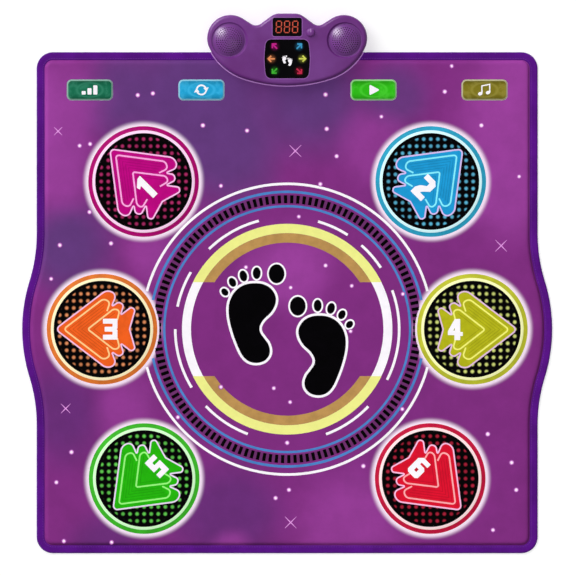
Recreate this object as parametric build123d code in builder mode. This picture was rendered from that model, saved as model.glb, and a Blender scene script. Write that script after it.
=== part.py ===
"""Dance rhythm mat: a padded foot mat with six step pads and four control buttons, and a sound console
that grips the middle of its rear edge. Millimetres, +Z up, +Y towards the console. The origin is on the
floor under the centre of the overall box.
"""

import os
from math import cos, radians, sin

from build123d import *

os.makedirs("parts", exist_ok=True)

# ---- Driving dimensions -------------------------------------------------------------------------
# Plan of the mat
OVERALL_LENGTH = 928.0
MAT_WIDTH = 862.0
MAT_LENGTH = 862.0
MAT_FRONT = -OVERALL_LENGTH / 2
MAT_REAR = MAT_FRONT + MAT_LENGTH
CORNER_RADIUS = 28.0
SWELL_DEPTH = 25.0
SWELL_HALF_RUN = 165.0
BINDING_WIDTH = 13.5

# Step pads, numbered from the rear left, row by row
ROW_1_Y, ROW_2_Y, ROW_3_Y = 175.5, -78.5, -335.5
ROW_1_X, ROW_2_X, ROW_3_X = 247.0, 318.5, 246.0
PAD_PLACES = [
    (-ROW_1_X, ROW_1_Y),
    (ROW_1_X, ROW_1_Y),
    (-ROW_2_X, ROW_2_Y),
    (ROW_2_X, ROW_2_Y),
    (-ROW_3_X, ROW_3_Y),
    (ROW_3_X, ROW_3_Y),
]
PAD_R = 97.0
PAD_CROWN = 2.4
PAD_CROWN_RUN = 15.0
PAD_TRAVEL = 2.2
PAD_CONTACT_R = 72.0
PAD_FOOT_R = 74.0
WELL_R = 75.0

# Control buttons along the rear edge
BUTTON_Y = 333.0
BUTTONS = {"levels": -339.5, "mode": -147.5, "start": 148.5, "music": 339.5}
BUTTON_LENGTH, BUTTON_WIDTH, BUTTON_CORNER = 79.0, 35.6, 8.6
BUTTON_CROWN = 1.4
BUTTON_TRAVEL = 1.2
PLUNGER_LENGTH, PLUNGER_WIDTH, PLUNGER_CORNER = 56.0, 16.0, 4.0

# Layers of the mat, from the floor up
BINDING = 0.6
BINDING_LOW = 0.2
BASE_TOP = 1.6
FILM = 0.3
SPACER = 2.4
TOP_FOAM = 3.0
COVER = 1.2
SLIDE_GAP = 0.3
LOWER_FILM_TOP = BASE_TOP + FILM
SPACER_TOP = LOWER_FILM_TOP + SPACER
UPPER_FILM_TOP = SPACER_TOP + FILM
FOAM_TOP = UPPER_FILM_TOP + TOP_FOAM
MAT_TOP = FOAM_TOP + COVER
FLANGE_TOP = BASE_TOP + COVER
SHOULDER_INSET = 15.0
SHOULDER_R = 5.5
FILM_INSET = 17.5
FOAM_INSET = 20.9

# Console plan: a hump in the middle of its rear edge, a lobe over each speaker, a long front curve
CONSOLE_REAR = OVERALL_LENGTH / 2
CONSOLE_FRONT = 340.7
HUMP_CORNER_X = 21.5
HUMP_CORNER_R = 26.0
VALLEY_X, VALLEY_R = 53.0, 15.0
LOBE_X, LOBE_Y, LOBE_R = 97.5, 421.5, 40.0
LOBE_START, LOBE_END = 122.7, -18.0
FRONT_BEND = (74.1, 352.4)
TUCK = 12.4
TONGUE = 26.0

# Console section
WALL = 2.4
EDGE_R = 6.0
CONSOLE_TOP = 40.0
CROWN_R = 3000.0
CROWN_Y = 405.0
PLATE_LOW, PLATE_TOP = 1.0, 3.0
SHELL_LOW = PLATE_TOP
SHELF_TOP = SPACER_TOP
TONGUE_REAR = MAT_REAR - 21.5
BOARD_LOW, BOARD_TOP = 24.0, 25.6

# Speakers
SPEAKER_X, SPEAKER_Y = 100.0, 418.0
SEAT_R, SEAT_TOP, COLLAR_R, COLLAR_LOW = 31.0, 35.0, 33.0, 29.0
SPEAKER_HOLE_R = 29.0
DOME_R, DOME_FOOT, DOME_RISE, GRILLE_WALL = 27.2, 36.0, 9.0, 1.6
DOME_INNER_R = DOME_R - GRILLE_WALL
FLANGE_R, FLANGE_LOW = 30.7, 33.0
CONE_TRAVEL = 0.8

# Display, arrow panel and volume knob
WINDOW_Y, WINDOW_LENGTH, WINDOW_WIDTH, WINDOW_CORNER, WINDOW_TOP = 440.6, 50.0, 31.6, 3.6, 38.6
PANEL_Y, PANEL_WAIST, PANEL_END, PANEL_WIDTH, PANEL_CORNER = 385.8, 78.8, 72.0, 66.6, 10.0
PANEL_TOP = 39.0
LENS, PANEL = 1.6, 1.8
BEZEL_LOW = 35.4
LIGHT_PLACES = [(x * side, y) for x, y in ((20.5, 408.0), (25.5, 387.0), (20.5, 366.0)) for side in (-1, 1)]
CENTRE_LIGHT = (0.0, 384.0)
KNOB_X, KNOB_Y, KNOB_R, KNOB_LOW, KNOB_HEIGHT = 40.4, 431.0, 8.0, 40.2, 8.8
SHAFT_R = 3.0

# Battery bay and door
CELL_R, CELL_LENGTH, CELL_PITCH, CELL_Z = 7.1, 49.2, 15.0, 10.6
NUB_R, NUB = 2.75, 1.0
BAY_X, BAY_Y, BAY_TOP, BAY_WALL, BAY_FLANGE = 28.4, 416.0, 18.2, 1.6, 5.0
BAY_HALF_Y = 31.0
CONTACT = 0.5
DOOR_HALF, DOOR_FRONT, DOOR_TOP = 30.0, 383.0, 2.8
RAIL, RAIL_LOW = 1.3, 1.9
DOOR_GAP = 0.25

# Fasteners
SHELL_SCREW_PLACES = [(-64.0, 432.0), (64.0, 432.0), (-72.0, 386.0), (72.0, 386.0)]
CLAMP_SCREW_PLACES = [(-62.0, 370.6), (-31.0, 362.5), (0.0, 359.9), (31.0, 362.5), (62.0, 370.6)]
BOARD_SCREW_PLACES = [(-42.0, 378.0), (42.0, 378.0), (-42.0, 414.0), (42.0, 414.0)]
CLAMP_LOW, CLAMP_TOP = 9.0, 12.0
FEET_PLACES = [(-100.0, 440.0), (100.0, 440.0), (-62.0, 372.0), (62.0, 372.0)]
FOOT_R = 7.0


# ---- Shared outlines ----------------------------------------------------------------------------
def mat_outline(inset):
    """Plan of the mat pulled in by inset: rounded corners, and a swell on each side beside pads 3 and 4."""
    side = MAT_WIDTH / 2
    low, high = ROW_2_Y - SWELL_HALF_RUN, ROW_2_Y + SWELL_HALF_RUN
    low_bend = (side + SWELL_DEPTH / 2, ROW_2_Y - SWELL_HALF_RUN / 2)
    high_bend = (side + SWELL_DEPTH / 2, ROW_2_Y + SWELL_HALF_RUN / 2)
    with BuildSketch(mode=Mode.PRIVATE) as plan:
        with BuildLine():
            Polyline((0, MAT_FRONT), (side, MAT_FRONT), (side, low))
            TangentArc((side, low), low_bend, tangent=(0, 1))
            ThreePointArc(low_bend, (side + SWELL_DEPTH, ROW_2_Y), high_bend)
            TangentArc((side, high), high_bend, tangent=(0, -1))
            Polyline((side, high), (side, MAT_REAR), (0, MAT_REAR))
            mirror(about=Plane.YZ)
        make_face()
        ends = plan.vertices().filter_by_position(Axis.Y, MAT_FRONT, MAT_FRONT)
        ends += plan.vertices().filter_by_position(Axis.Y, MAT_REAR, MAT_REAR)
        fillet([v for v in ends if abs(v.X) > side - 1], CORNER_RADIUS)
        if inset:
            offset(amount=-inset)
    return plan.sketch


def console_outline(inset):
    """Plan of the console pulled in by inset."""
    start, end = radians(LOBE_START), radians(LOBE_END)
    lobe_in = (LOBE_X + LOBE_R * cos(start), LOBE_Y + LOBE_R * sin(start))
    lobe_side = (LOBE_X + LOBE_R * cos(radians(45)), LOBE_Y + LOBE_R * sin(radians(45)))
    lobe_out = (LOBE_X + LOBE_R * cos(end), LOBE_Y + LOBE_R * sin(end))
    run = lobe_in[0] - VALLEY_X
    valley = (VALLEY_X, lobe_in[1] - run * cos(start) / -sin(start))
    with BuildSketch(mode=Mode.PRIVATE) as plan:
        with BuildLine():
            FilletPolyline(
                (0, CONSOLE_REAR),
                (HUMP_CORNER_X, CONSOLE_REAR),
                valley,
                lobe_in,
                radius=(HUMP_CORNER_R, VALLEY_R),
            )
            ThreePointArc(lobe_in, lobe_side, lobe_out)
            front = TangentArc((0, CONSOLE_FRONT), FRONT_BEND, tangent=(1, 0))
            TangentArc(FRONT_BEND, lobe_out, tangent=front % 1)
            mirror(about=Plane.YZ)
        make_face()
        if inset:
            offset(amount=-inset)
    return plan.sketch


def console_front_band(outer, inner, reach, rear):
    """The strip between two insets of the console's plan, along its front curve only."""
    with BuildSketch(mode=Mode.PRIVATE) as band:
        add(console_outline(outer))
        add(console_outline(inner), mode=Mode.SUBTRACT)
        with Locations((0, rear - 100)):
            Rectangle(2 * reach, 200, mode=Mode.INTERSECT)
    return band.sketch


def panel_outline(inset):
    """Barrel-shaped plan of the arrow panel, centred on the origin."""
    half = PANEL_WIDTH / 2
    with BuildSketch(mode=Mode.PRIVATE) as plan:
        with BuildLine():
            Line((0, half), (PANEL_END / 2, half))
            ThreePointArc((PANEL_END / 2, half), (PANEL_WAIST / 2, 0), (PANEL_END / 2, -half))
            Line((PANEL_END / 2, -half), (0, -half))
            mirror(about=Plane.YZ)
        make_face()
        fillet([v for v in plan.vertices() if abs(v.X) > 1], PANEL_CORNER)
        if inset:
            offset(amount=-inset)
    return plan.sketch


def section_plane(x, y):
    """A vertical plane through (x, y) whose own axes are +X and +Z."""
    return Plane(origin=(x, y, 0), x_dir=(1, 0, 0), z_dir=(0, -1, 0))


def write(builder, name):
    """Labels a finished piece and writes its STEP file."""
    builder.part.label = name
    export_step(builder.part, f"parts/{name}.step")


# ---- Mat: sheets --------------------------------------------------------------------------------
with BuildPart() as base_sheet:
    with BuildSketch(Plane.XY.offset(BINDING_LOW + BINDING)):
        add(mat_outline(BINDING))
    extrude(amount=BASE_TOP - BINDING_LOW - BINDING)
    with BuildSketch():
        add(mat_outline(BINDING_WIDTH + 0.5))
    extrude(amount=BASE_TOP)
    with BuildSketch():
        add(console_outline(TUCK - SLIDE_GAP))
    extrude(amount=BASE_TOP, mode=Mode.SUBTRACT)
write(base_sheet, "base_sheet")

with BuildPart() as lower_film:
    with BuildSketch(Plane.XY.offset(BASE_TOP)):
        add(mat_outline(FILM_INSET))
        add(console_outline(TUCK - SLIDE_GAP), mode=Mode.SUBTRACT)
    extrude(amount=FILM)
write(lower_film, "lower_film")

with BuildPart() as spacer_foam:
    with BuildSketch(Plane.XY.offset(LOWER_FILM_TOP)):
        add(mat_outline(FILM_INSET))
        add(console_outline(TUCK - SLIDE_GAP), mode=Mode.SUBTRACT)
        with Locations(*PAD_PLACES):
            Circle(WELL_R, mode=Mode.SUBTRACT)
        with Locations(*[(x, BUTTON_Y) for x in BUTTONS.values()]):
            RectangleRounded(PLUNGER_LENGTH + 2, PLUNGER_WIDTH + 2, PLUNGER_CORNER + 1, mode=Mode.SUBTRACT)
    extrude(amount=SPACER)
write(spacer_foam, "spacer_foam")

with BuildPart() as upper_film:
    with BuildSketch(Plane.XY.offset(SPACER_TOP)):
        add(mat_outline(FILM_INSET))
        add(console_outline(TONGUE), mode=Mode.SUBTRACT)
        with Locations(*PAD_PLACES):
            Circle(WELL_R, mode=Mode.SUBTRACT)
        with Locations(*[(x, BUTTON_Y) for x in BUTTONS.values()]):
            RectangleRounded(PLUNGER_LENGTH + 2, PLUNGER_WIDTH + 2, PLUNGER_CORNER + 1, mode=Mode.SUBTRACT)
        with Locations(*CLAMP_SCREW_PLACES):
            Circle(1.5, mode=Mode.SUBTRACT)
    extrude(amount=FILM)
write(upper_film, "upper_film")

with BuildPart() as top_foam:
    with BuildSketch(Plane.XY.offset(UPPER_FILM_TOP)):
        add(mat_outline(FOAM_INSET))
        add(console_outline(TONGUE), mode=Mode.SUBTRACT)
        with Locations(*PAD_PLACES):
            Circle(PAD_R + SLIDE_GAP, mode=Mode.SUBTRACT)
        with Locations(*[(x, BUTTON_Y) for x in BUTTONS.values()]):
            RectangleRounded(
                BUTTON_LENGTH + 2 * SLIDE_GAP,
                BUTTON_WIDTH + 2 * SLIDE_GAP,
                BUTTON_CORNER + SLIDE_GAP,
                mode=Mode.SUBTRACT,
            )
        with Locations(*CLAMP_SCREW_PLACES):
            Circle(1.5, mode=Mode.SUBTRACT)
    extrude(amount=TOP_FOAM)
write(top_foam, "top_foam")

# The space under the cover, and the mat's whole upper envelope, are helpers for the cover and the console.
with BuildPart() as under_cover:
    with BuildSketch():
        add(mat_outline(SHOULDER_INSET + COVER))
    extrude(amount=FOAM_TOP)
    fillet(under_cover.faces().sort_by(Axis.Z)[-1].edges(), SHOULDER_R - COVER)


def cover_envelope(grow):
    """The solid under the mat's upper surface, grown outwards by grow."""
    with BuildPart(mode=Mode.PRIVATE) as envelope:
        with BuildSketch():
            add(mat_outline(SHOULDER_INSET - grow))
        extrude(amount=MAT_TOP + grow)
        fillet(envelope.faces().sort_by(Axis.Z)[-1].edges(), SHOULDER_R + grow)
    return envelope.part


with BuildPart() as top_cover:
    add(cover_envelope(0))
    with BuildSketch():
        add(mat_outline(BINDING))
    extrude(amount=FLANGE_TOP)
    with BuildSketch():
        add(mat_outline(0))
    extrude(amount=BASE_TOP, mode=Mode.SUBTRACT)
    add(under_cover.part, mode=Mode.SUBTRACT)
    with BuildSketch():
        add(console_outline(TUCK - SLIDE_GAP))
        with Locations((0, TONGUE_REAR + 100)):
            Rectangle(400, 200, mode=Mode.INTERSECT)
        add(console_outline(TONGUE))
        with Locations(*PAD_PLACES):
            Circle(PAD_R + SLIDE_GAP)
        with Locations(*[(x, BUTTON_Y) for x in BUTTONS.values()]):
            RectangleRounded(
                BUTTON_LENGTH + 2 * SLIDE_GAP, BUTTON_WIDTH + 2 * SLIDE_GAP, BUTTON_CORNER + SLIDE_GAP
            )
        with Locations(*CLAMP_SCREW_PLACES):
            Circle(1.5)
    extrude(amount=MAT_TOP, mode=Mode.SUBTRACT)
write(top_cover, "top_cover")

with BuildPart() as edge_binding:
    with BuildSketch(Plane.XY.offset(BINDING_LOW)):
        add(mat_outline(0))
        add(mat_outline(BINDING_WIDTH), mode=Mode.SUBTRACT)
    extrude(amount=FLANGE_TOP + BINDING - BINDING_LOW)
    with BuildSketch(Plane.XY.offset(BINDING_LOW + BINDING)):
        add(mat_outline(BINDING))
    extrude(amount=FLANGE_TOP - BINDING_LOW - BINDING, mode=Mode.SUBTRACT)
    with BuildSketch():
        add(console_outline(TUCK - SLIDE_GAP))
    extrude(amount=MAT_TOP, mode=Mode.SUBTRACT)
write(edge_binding, "edge_binding")


# ---- Mat: step pads and buttons -----------------------------------------------------------------
for number, (pad_x, pad_y) in enumerate(PAD_PLACES, start=1):
    flat_r = PAD_R - PAD_CROWN_RUN
    bend_r = PAD_R - PAD_CROWN_RUN / 2
    with BuildPart() as step_pad:
        with BuildSketch(section_plane(pad_x, pad_y)):
            with BuildLine():
                for top in (MAT_TOP, FOAM_TOP):
                    Line((0, top + PAD_CROWN), (flat_r, top + PAD_CROWN))
                    TangentArc((flat_r, top + PAD_CROWN), (bend_r, top + PAD_CROWN / 2), tangent=(1, 0))
                    TangentArc((PAD_R, top), (bend_r, top + PAD_CROWN / 2), tangent=(-1, 0))
                Line((0, FOAM_TOP + PAD_CROWN), (0, MAT_TOP + PAD_CROWN))
                Line((PAD_R, FOAM_TOP), (PAD_R, MAT_TOP))
            make_face()
        revolve(axis=Axis((pad_x, pad_y, 0), (0, 0, 1)))
    write(step_pad, f"step_pad_{number}")

    with BuildPart() as pad_foam:
        with BuildSketch(Plane.XY.offset(UPPER_FILM_TOP)):
            with Locations((pad_x, pad_y)):
                Circle(PAD_FOOT_R)
        extrude(amount=PAD_TRAVEL + SLIDE_GAP)
        with BuildSketch(Plane.XY.offset(UPPER_FILM_TOP + PAD_TRAVEL + SLIDE_GAP)):
            with Locations((pad_x, pad_y)):
                Circle(flat_r)
        extrude(amount=FOAM_TOP + PAD_CROWN - UPPER_FILM_TOP - PAD_TRAVEL - SLIDE_GAP)
    write(pad_foam, f"pad_foam_{number}")

    with BuildPart() as pad_contact:
        with BuildSketch(Plane.XY.offset(SPACER_TOP)):
            with Locations((pad_x, pad_y)):
                Circle(PAD_CONTACT_R)
        extrude(amount=FILM)
    write(pad_contact, f"pad_contact_{number}")

for name, button_x in BUTTONS.items():
    with BuildPart() as button:
        with BuildSketch(Plane.XY.offset(FOAM_TOP)):
            with Locations((button_x, BUTTON_Y)):
                RectangleRounded(BUTTON_LENGTH, BUTTON_WIDTH, BUTTON_CORNER)
        extrude(amount=COVER + BUTTON_CROWN)
        fillet(button.faces().sort_by(Axis.Z)[-1].edges(), BUTTON_CROWN - 0.1)
    write(button, f"{name}_button")

    with BuildPart() as plunger:
        with BuildSketch(Plane.XY.offset(LOWER_FILM_TOP + BUTTON_TRAVEL + 0.2)):
            with Locations((button_x, BUTTON_Y)):
                RectangleRounded(PLUNGER_LENGTH, PLUNGER_WIDTH, PLUNGER_CORNER)
        extrude(amount=FOAM_TOP - LOWER_FILM_TOP - BUTTON_TRAVEL - 0.2)
    write(plunger, f"{name}_button_plunger")


# ---- Console: shells ----------------------------------------------------------------------------
def console_body(inset, top, edge):
    """The console's solid shape pulled in by inset, with a gently crowned top at the height top."""
    with BuildPart(mode=Mode.PRIVATE) as body:
        with BuildSketch(Plane.XY.offset(SHELL_LOW)):
            add(console_outline(inset))
        extrude(amount=top - SHELL_LOW)
        with Locations((0, CROWN_Y, top - CROWN_R)):
            Sphere(CROWN_R, mode=Mode.INTERSECT)
        fillet(body.faces().sort_by(Axis.Z)[-1].edges(), edge)
    return body.part


console_solid = console_body(0, CONSOLE_TOP, EDGE_R)

with BuildPart() as upper_shell:
    add(console_solid)
    add(console_body(WALL, CONSOLE_TOP - WALL, EDGE_R - WALL), mode=Mode.SUBTRACT)
    # Material for the speaker seats, the two bezels and the screw bosses, trimmed to the outer surface.
    with BuildSketch(Plane.XY.offset(COLLAR_LOW)):
        with Locations((-SPEAKER_X, SPEAKER_Y), (SPEAKER_X, SPEAKER_Y)):
            Circle(COLLAR_R)
    extrude(amount=CONSOLE_TOP - COLLAR_LOW)
    with BuildSketch(Plane.XY.offset(BEZEL_LOW)):
        with Locations((0, WINDOW_Y)):
            RectangleRounded(WINDOW_LENGTH + 4, WINDOW_WIDTH + 4, WINDOW_CORNER + 2)
        with Locations((0, PANEL_Y)):
            add(panel_outline(-2))
    extrude(amount=CONSOLE_TOP - BEZEL_LOW)
    with BuildSketch(Plane.XY.offset(6.2)):
        with Locations(*SHELL_SCREW_PLACES):
            Circle(3.5)
    extrude(amount=CONSOLE_TOP - 6.2)
    add(console_solid, mode=Mode.INTERSECT)
    # Speaker openings: a seat for the grille from below, and a chamfered rim above it.
    with BuildSketch(Plane.XY.offset(COLLAR_LOW)):
        with Locations((-SPEAKER_X, SPEAKER_Y), (SPEAKER_X, SPEAKER_Y)):
            Circle(SEAT_R)
    extrude(amount=SEAT_TOP - COLLAR_LOW, mode=Mode.SUBTRACT)
    with Locations((-SPEAKER_X, SPEAKER_Y, SEAT_TOP), (SPEAKER_X, SPEAKER_Y, SEAT_TOP)):
        Cylinder(SPEAKER_HOLE_R, 10, align=(Align.CENTER, Align.CENTER, Align.MIN), mode=Mode.SUBTRACT)
    with Locations((-SPEAKER_X, SPEAKER_Y, 36.1), (SPEAKER_X, SPEAKER_Y, 36.1)):
        Cone(
            SPEAKER_HOLE_R,
            SPEAKER_HOLE_R + 5,
            5,
            align=(Align.CENTER, Align.CENTER, Align.MIN),
            mode=Mode.SUBTRACT,
        )
    # Display window and arrow panel: a pocket for the lens and a through opening inside it.
    with BuildSketch(Plane.XY.offset(WINDOW_TOP - LENS)):
        with Locations((0, WINDOW_Y)):
            RectangleRounded(WINDOW_LENGTH + 0.4, WINDOW_WIDTH + 0.4, WINDOW_CORNER)
    extrude(amount=5, mode=Mode.SUBTRACT)
    with BuildSketch(Plane.XY.offset(PANEL_TOP - PANEL)):
        with Locations((0, PANEL_Y)):
            add(panel_outline(-0.2))
    extrude(amount=5, mode=Mode.SUBTRACT)
    with BuildSketch(Plane.XY.offset(BEZEL_LOW)):
        with Locations((0, WINDOW_Y)):
            RectangleRounded(WINDOW_LENGTH - 3, WINDOW_WIDTH - 3, WINDOW_CORNER - 1)
        with Locations((0, PANEL_Y)):
            add(panel_outline(2.5))
    extrude(amount=5, mode=Mode.SUBTRACT)
    # Knob shaft hole, screw pilots and the mat's passage under the front rim.
    with Locations((KNOB_X, KNOB_Y, CONSOLE_TOP)):
        Hole(SHAFT_R + 0.4, depth=8)
    with BuildSketch(Plane.XY.offset(6.2)):
        with Locations(*SHELL_SCREW_PLACES):
            Circle(1.55)
    extrude(amount=11, mode=Mode.SUBTRACT)
    add(cover_envelope(SLIDE_GAP), mode=Mode.SUBTRACT)
    with BuildSketch():
        add(mat_outline(-0.5))
    extrude(amount=FLANGE_TOP + BINDING + SLIDE_GAP, mode=Mode.SUBTRACT)
write(upper_shell, "upper_shell")

with BuildPart() as lower_shell:
    # Base plate: the full plan behind the mat, tucked in where the mat lies beside it.
    with BuildSketch(Plane.XY.offset(PLATE_LOW)):
        add(console_outline(0))
        with Locations((0, MAT_REAR + 1 + 100)):
            Rectangle(400, 200, mode=Mode.INTERSECT)
        add(console_outline(TUCK))
    extrude(amount=PLATE_TOP - PLATE_LOW)
    with BuildSketch(Plane.XY.offset(PLATE_TOP)):
        add(console_front_band(TUCK, TONGUE + 1, 130, MAT_REAR - 2))
    extrude(amount=SHELF_TOP - PLATE_TOP)
    # A low lip inside the rear wall locates the upper shell.
    with BuildSketch(Plane.XY.offset(PLATE_TOP)):
        add(console_outline(WALL + 0.2))
        add(console_outline(WALL + 1.8), mode=Mode.SUBTRACT)
        with Locations((0, MAT_REAR + 2 + 100)):
            Rectangle(400, 200, mode=Mode.INTERSECT)
    extrude(amount=4)
    # Battery box, board posts and screw pads.
    with BuildSketch(Plane.XY.offset(PLATE_TOP)):
        with Locations((0, BAY_Y)):
            Rectangle(2 * (BAY_X + BAY_WALL + BAY_FLANGE), 2 * (BAY_HALF_Y + BAY_WALL + BAY_FLANGE))
        add(console_outline(WALL + 1), mode=Mode.INTERSECT)
    extrude(amount=2)
    with BuildSketch(Plane.XY.offset(PLATE_TOP)):
        with Locations((0, BAY_Y)):
            Rectangle(2 * (BAY_X + BAY_WALL), 2 * (BAY_HALF_Y + BAY_WALL))
    extrude(amount=BAY_TOP + BAY_WALL - PLATE_TOP)
    with BuildSketch(Plane.XY.offset(PLATE_TOP)):
        with Locations(*BOARD_SCREW_PLACES):
            Circle(3.2)
    extrude(amount=BOARD_LOW - PLATE_TOP)
    with BuildSketch(Plane.XY.offset(PLATE_TOP)):
        with Locations(*SHELL_SCREW_PLACES):
            Circle(4.5)
    extrude(amount=3)
    # The bay, and the door's slot with its side grooves, open to the rear.
    with BuildSketch(Plane.XY.offset(DOOR_TOP)):
        with Locations((0, BAY_Y)):
            Rectangle(2 * BAY_X, 2 * BAY_HALF_Y)
    extrude(amount=BAY_TOP - DOOR_TOP, mode=Mode.SUBTRACT)
    slot_run = CONSOLE_REAR + 2 - DOOR_FRONT
    with BuildSketch(Plane.XY.offset(PLATE_LOW)):
        with Locations((0, DOOR_FRONT - DOOR_GAP + slot_run / 2)):
            Rectangle(2 * (DOOR_HALF + DOOR_GAP), slot_run)
    extrude(amount=DOOR_TOP + DOOR_GAP - PLATE_LOW, mode=Mode.SUBTRACT)
    with BuildSketch(Plane.XY.offset(RAIL_LOW - DOOR_GAP)):
        with Locations((0, DOOR_FRONT - DOOR_GAP + slot_run / 2)):
            Rectangle(2 * (DOOR_HALF + RAIL + DOOR_GAP), slot_run)
    extrude(amount=DOOR_TOP + 2 * DOOR_GAP - RAIL_LOW, mode=Mode.SUBTRACT)
    # Screw holes.
    with BuildSketch(Plane.XY.offset(2.0)):
        with Locations(*CLAMP_SCREW_PLACES):
            Circle(1.05)
    extrude(amount=SHELF_TOP - 2.0, mode=Mode.SUBTRACT)
    with BuildSketch(Plane.XY.offset(BOARD_LOW - 9)):
        with Locations(*BOARD_SCREW_PLACES):
            Circle(1.05)
    extrude(amount=9, mode=Mode.SUBTRACT)
    with BuildSketch(Plane.XY.offset(PLATE_LOW)):
        with Locations(*SHELL_SCREW_PLACES):
            Circle(3.0)
    extrude(amount=2.4, mode=Mode.SUBTRACT)
    with BuildSketch(Plane.XY.offset(PLATE_LOW)):
        with Locations(*SHELL_SCREW_PLACES):
            Circle(1.7)
    extrude(amount=6, mode=Mode.SUBTRACT)
write(lower_shell, "lower_shell")

with BuildPart() as clamp_bar:
    with BuildSketch(Plane.XY.offset(CLAMP_LOW)):
        add(console_front_band(TUCK + 1, TONGUE - 1, 104, TONGUE_REAR - 1))
        with Locations(*CLAMP_SCREW_PLACES):
            Circle(1.3, mode=Mode.SUBTRACT)
    extrude(amount=CLAMP_TOP - CLAMP_LOW)
write(clamp_bar, "clamp_bar")


# ---- Console: speakers --------------------------------------------------------------------------
GRILLE_RINGS = 6
GRILLE_PITCH = 3.6
GRILLE_HOLE_R = 0.95

for side, speaker_x in (("left", -SPEAKER_X), ("right", SPEAKER_X)):
    axis = Axis((speaker_x, SPEAKER_Y, 0), (0, 0, 1))
    plane = section_plane(speaker_x, SPEAKER_Y)
    crown = DOME_FOOT + DOME_RISE
    with BuildPart() as grille:
        with BuildSketch(plane):
            with BuildLine():
                Polyline(
                    (DOME_INNER_R, FLANGE_LOW),
                    (FLANGE_R, FLANGE_LOW),
                    (FLANGE_R, SEAT_TOP),
                    (28.6, SEAT_TOP),
                    (28.6, 36.8),
                    (27.7, 36.8),
                    (27.7, DOME_FOOT),
                    (DOME_R, DOME_FOOT),
                )
                TangentArc((0, crown), (DOME_R, DOME_FOOT), tangent=(1, 0))
                Line((0, crown), (0, crown - GRILLE_WALL))
                TangentArc((0, crown - GRILLE_WALL), (DOME_INNER_R, DOME_FOOT - 1), tangent=(1, 0))
                Line((DOME_INNER_R, DOME_FOOT - 1), (DOME_INNER_R, FLANGE_LOW))
            make_face()
        revolve(axis=axis)
        with BuildSketch(Plane.XY.offset(DOME_FOOT)):
            with Locations((speaker_x, SPEAKER_Y)):
                Circle(GRILLE_HOLE_R)
                for ring in range(1, GRILLE_RINGS + 1):
                    with PolarLocations(ring * GRILLE_PITCH, 6 * ring):
                        Circle(GRILLE_HOLE_R)
        extrude(amount=DOME_RISE + 1, mode=Mode.SUBTRACT)
    write(grille, f"{side}_grille")

    with BuildPart() as speaker_frame:
        with BuildSketch(plane):
            with BuildLine():
                Polyline(
                    (22.2, 30.0),
                    (22.2, FLANGE_LOW),
                    (FLANGE_R, FLANGE_LOW),
                    (FLANGE_R, 31.4),
                    (25.2, 31.4),
                    (18.0, 21.4),
                    (9.0, 21.4),
                    (9.0, 22.6),
                    (16.6, 22.6),
                    (22.2, 30.0),
                )
            make_face()
        revolve(axis=axis)
        with BuildSketch(Plane.XY.offset(23.4)):
            with Locations((speaker_x, SPEAKER_Y)):
                with PolarLocations(21.0, 4, start_angle=45):
                    Rectangle(12, 14)
        extrude(amount=7, mode=Mode.SUBTRACT)
    write(speaker_frame, f"{side}_speaker_frame")

    with BuildPart() as speaker_magnet:
        with BuildSketch(plane):
            with BuildLine():
                Polyline(
                    (0, 12.6),
                    (15.5, 12.6),
                    (15.5, 21.4),
                    (8.2, 21.4),
                    (8.2, 14.2),
                    (6.3, 14.2),
                    (6.3, 21.4),
                    (0, 21.4),
                    close=True,
                )
            make_face()
        revolve(axis=axis)
    write(speaker_magnet, f"{side}_speaker_magnet")

    with BuildPart() as speaker_cone:
        with BuildSketch(plane):
            with BuildLine():
                Line((0, 28.6), (0, 29.2))
                TangentArc((0, 29.2), (7.6, 25.6), tangent=(1, 0))
                Line((7.6, 25.6), (17.4, 31.2))
                ThreePointArc((17.4, 31.2), (19.6, 32.6), (21.8, 31.2))
                Line((21.8, 31.2), (21.2, 31.2))
                ThreePointArc((21.2, 31.2), (19.6, 32.0), (18.0, 31.0))
                Polyline((18.0, 31.0), (7.4, 24.9), (7.4, 17.0), (6.9, 17.0), (6.9, 25.4))
                TangentArc((0, 28.6), (6.9, 25.4), tangent=(1, 0))
            make_face()
        revolve(axis=axis)
    write(speaker_cone, f"{side}_speaker_cone")


# ---- Console: display, lights and board ---------------------------------------------------------
with BuildPart() as display_window:
    with BuildSketch(Plane.XY.offset(WINDOW_TOP - LENS)):
        with Locations((0, WINDOW_Y)):
            RectangleRounded(WINDOW_LENGTH, WINDOW_WIDTH, WINDOW_CORNER - 0.2)
    extrude(amount=LENS)
    fillet(display_window.faces().sort_by(Axis.Z)[-1].edges(), 0.4)
write(display_window, "display_window")

with BuildPart() as arrow_panel:
    with BuildSketch(Plane.XY.offset(PANEL_TOP - PANEL)):
        with Locations((0, PANEL_Y)):
            add(panel_outline(0))
    extrude(amount=PANEL)
    fillet(arrow_panel.faces().sort_by(Axis.Z)[-1].edges(), 0.4)
write(arrow_panel, "arrow_panel")

with BuildPart() as display_module:
    with BuildSketch(Plane.XY.offset(BOARD_TOP)):
        with Locations((0, WINDOW_Y - 1.4)):
            Rectangle(44, 25.6)
    extrude(amount=BEZEL_LOW - 0.2 - BOARD_TOP)
write(display_module, "display_module")

with BuildPart() as light_shroud:
    with BuildSketch(Plane.XY.offset(BOARD_TOP + 0.2)):
        with Locations((0, PANEL_Y)):
            add(panel_outline(3.4))
        with Locations(*LIGHT_PLACES):
            RectangleRounded(15, 15, 2, mode=Mode.SUBTRACT)
        with Locations(CENTRE_LIGHT):
            RectangleRounded(24, 14, 2, mode=Mode.SUBTRACT)
    extrude(amount=PANEL_TOP - PANEL - 0.2 - BOARD_TOP - 0.2)
write(light_shroud, "light_shroud")

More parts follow.
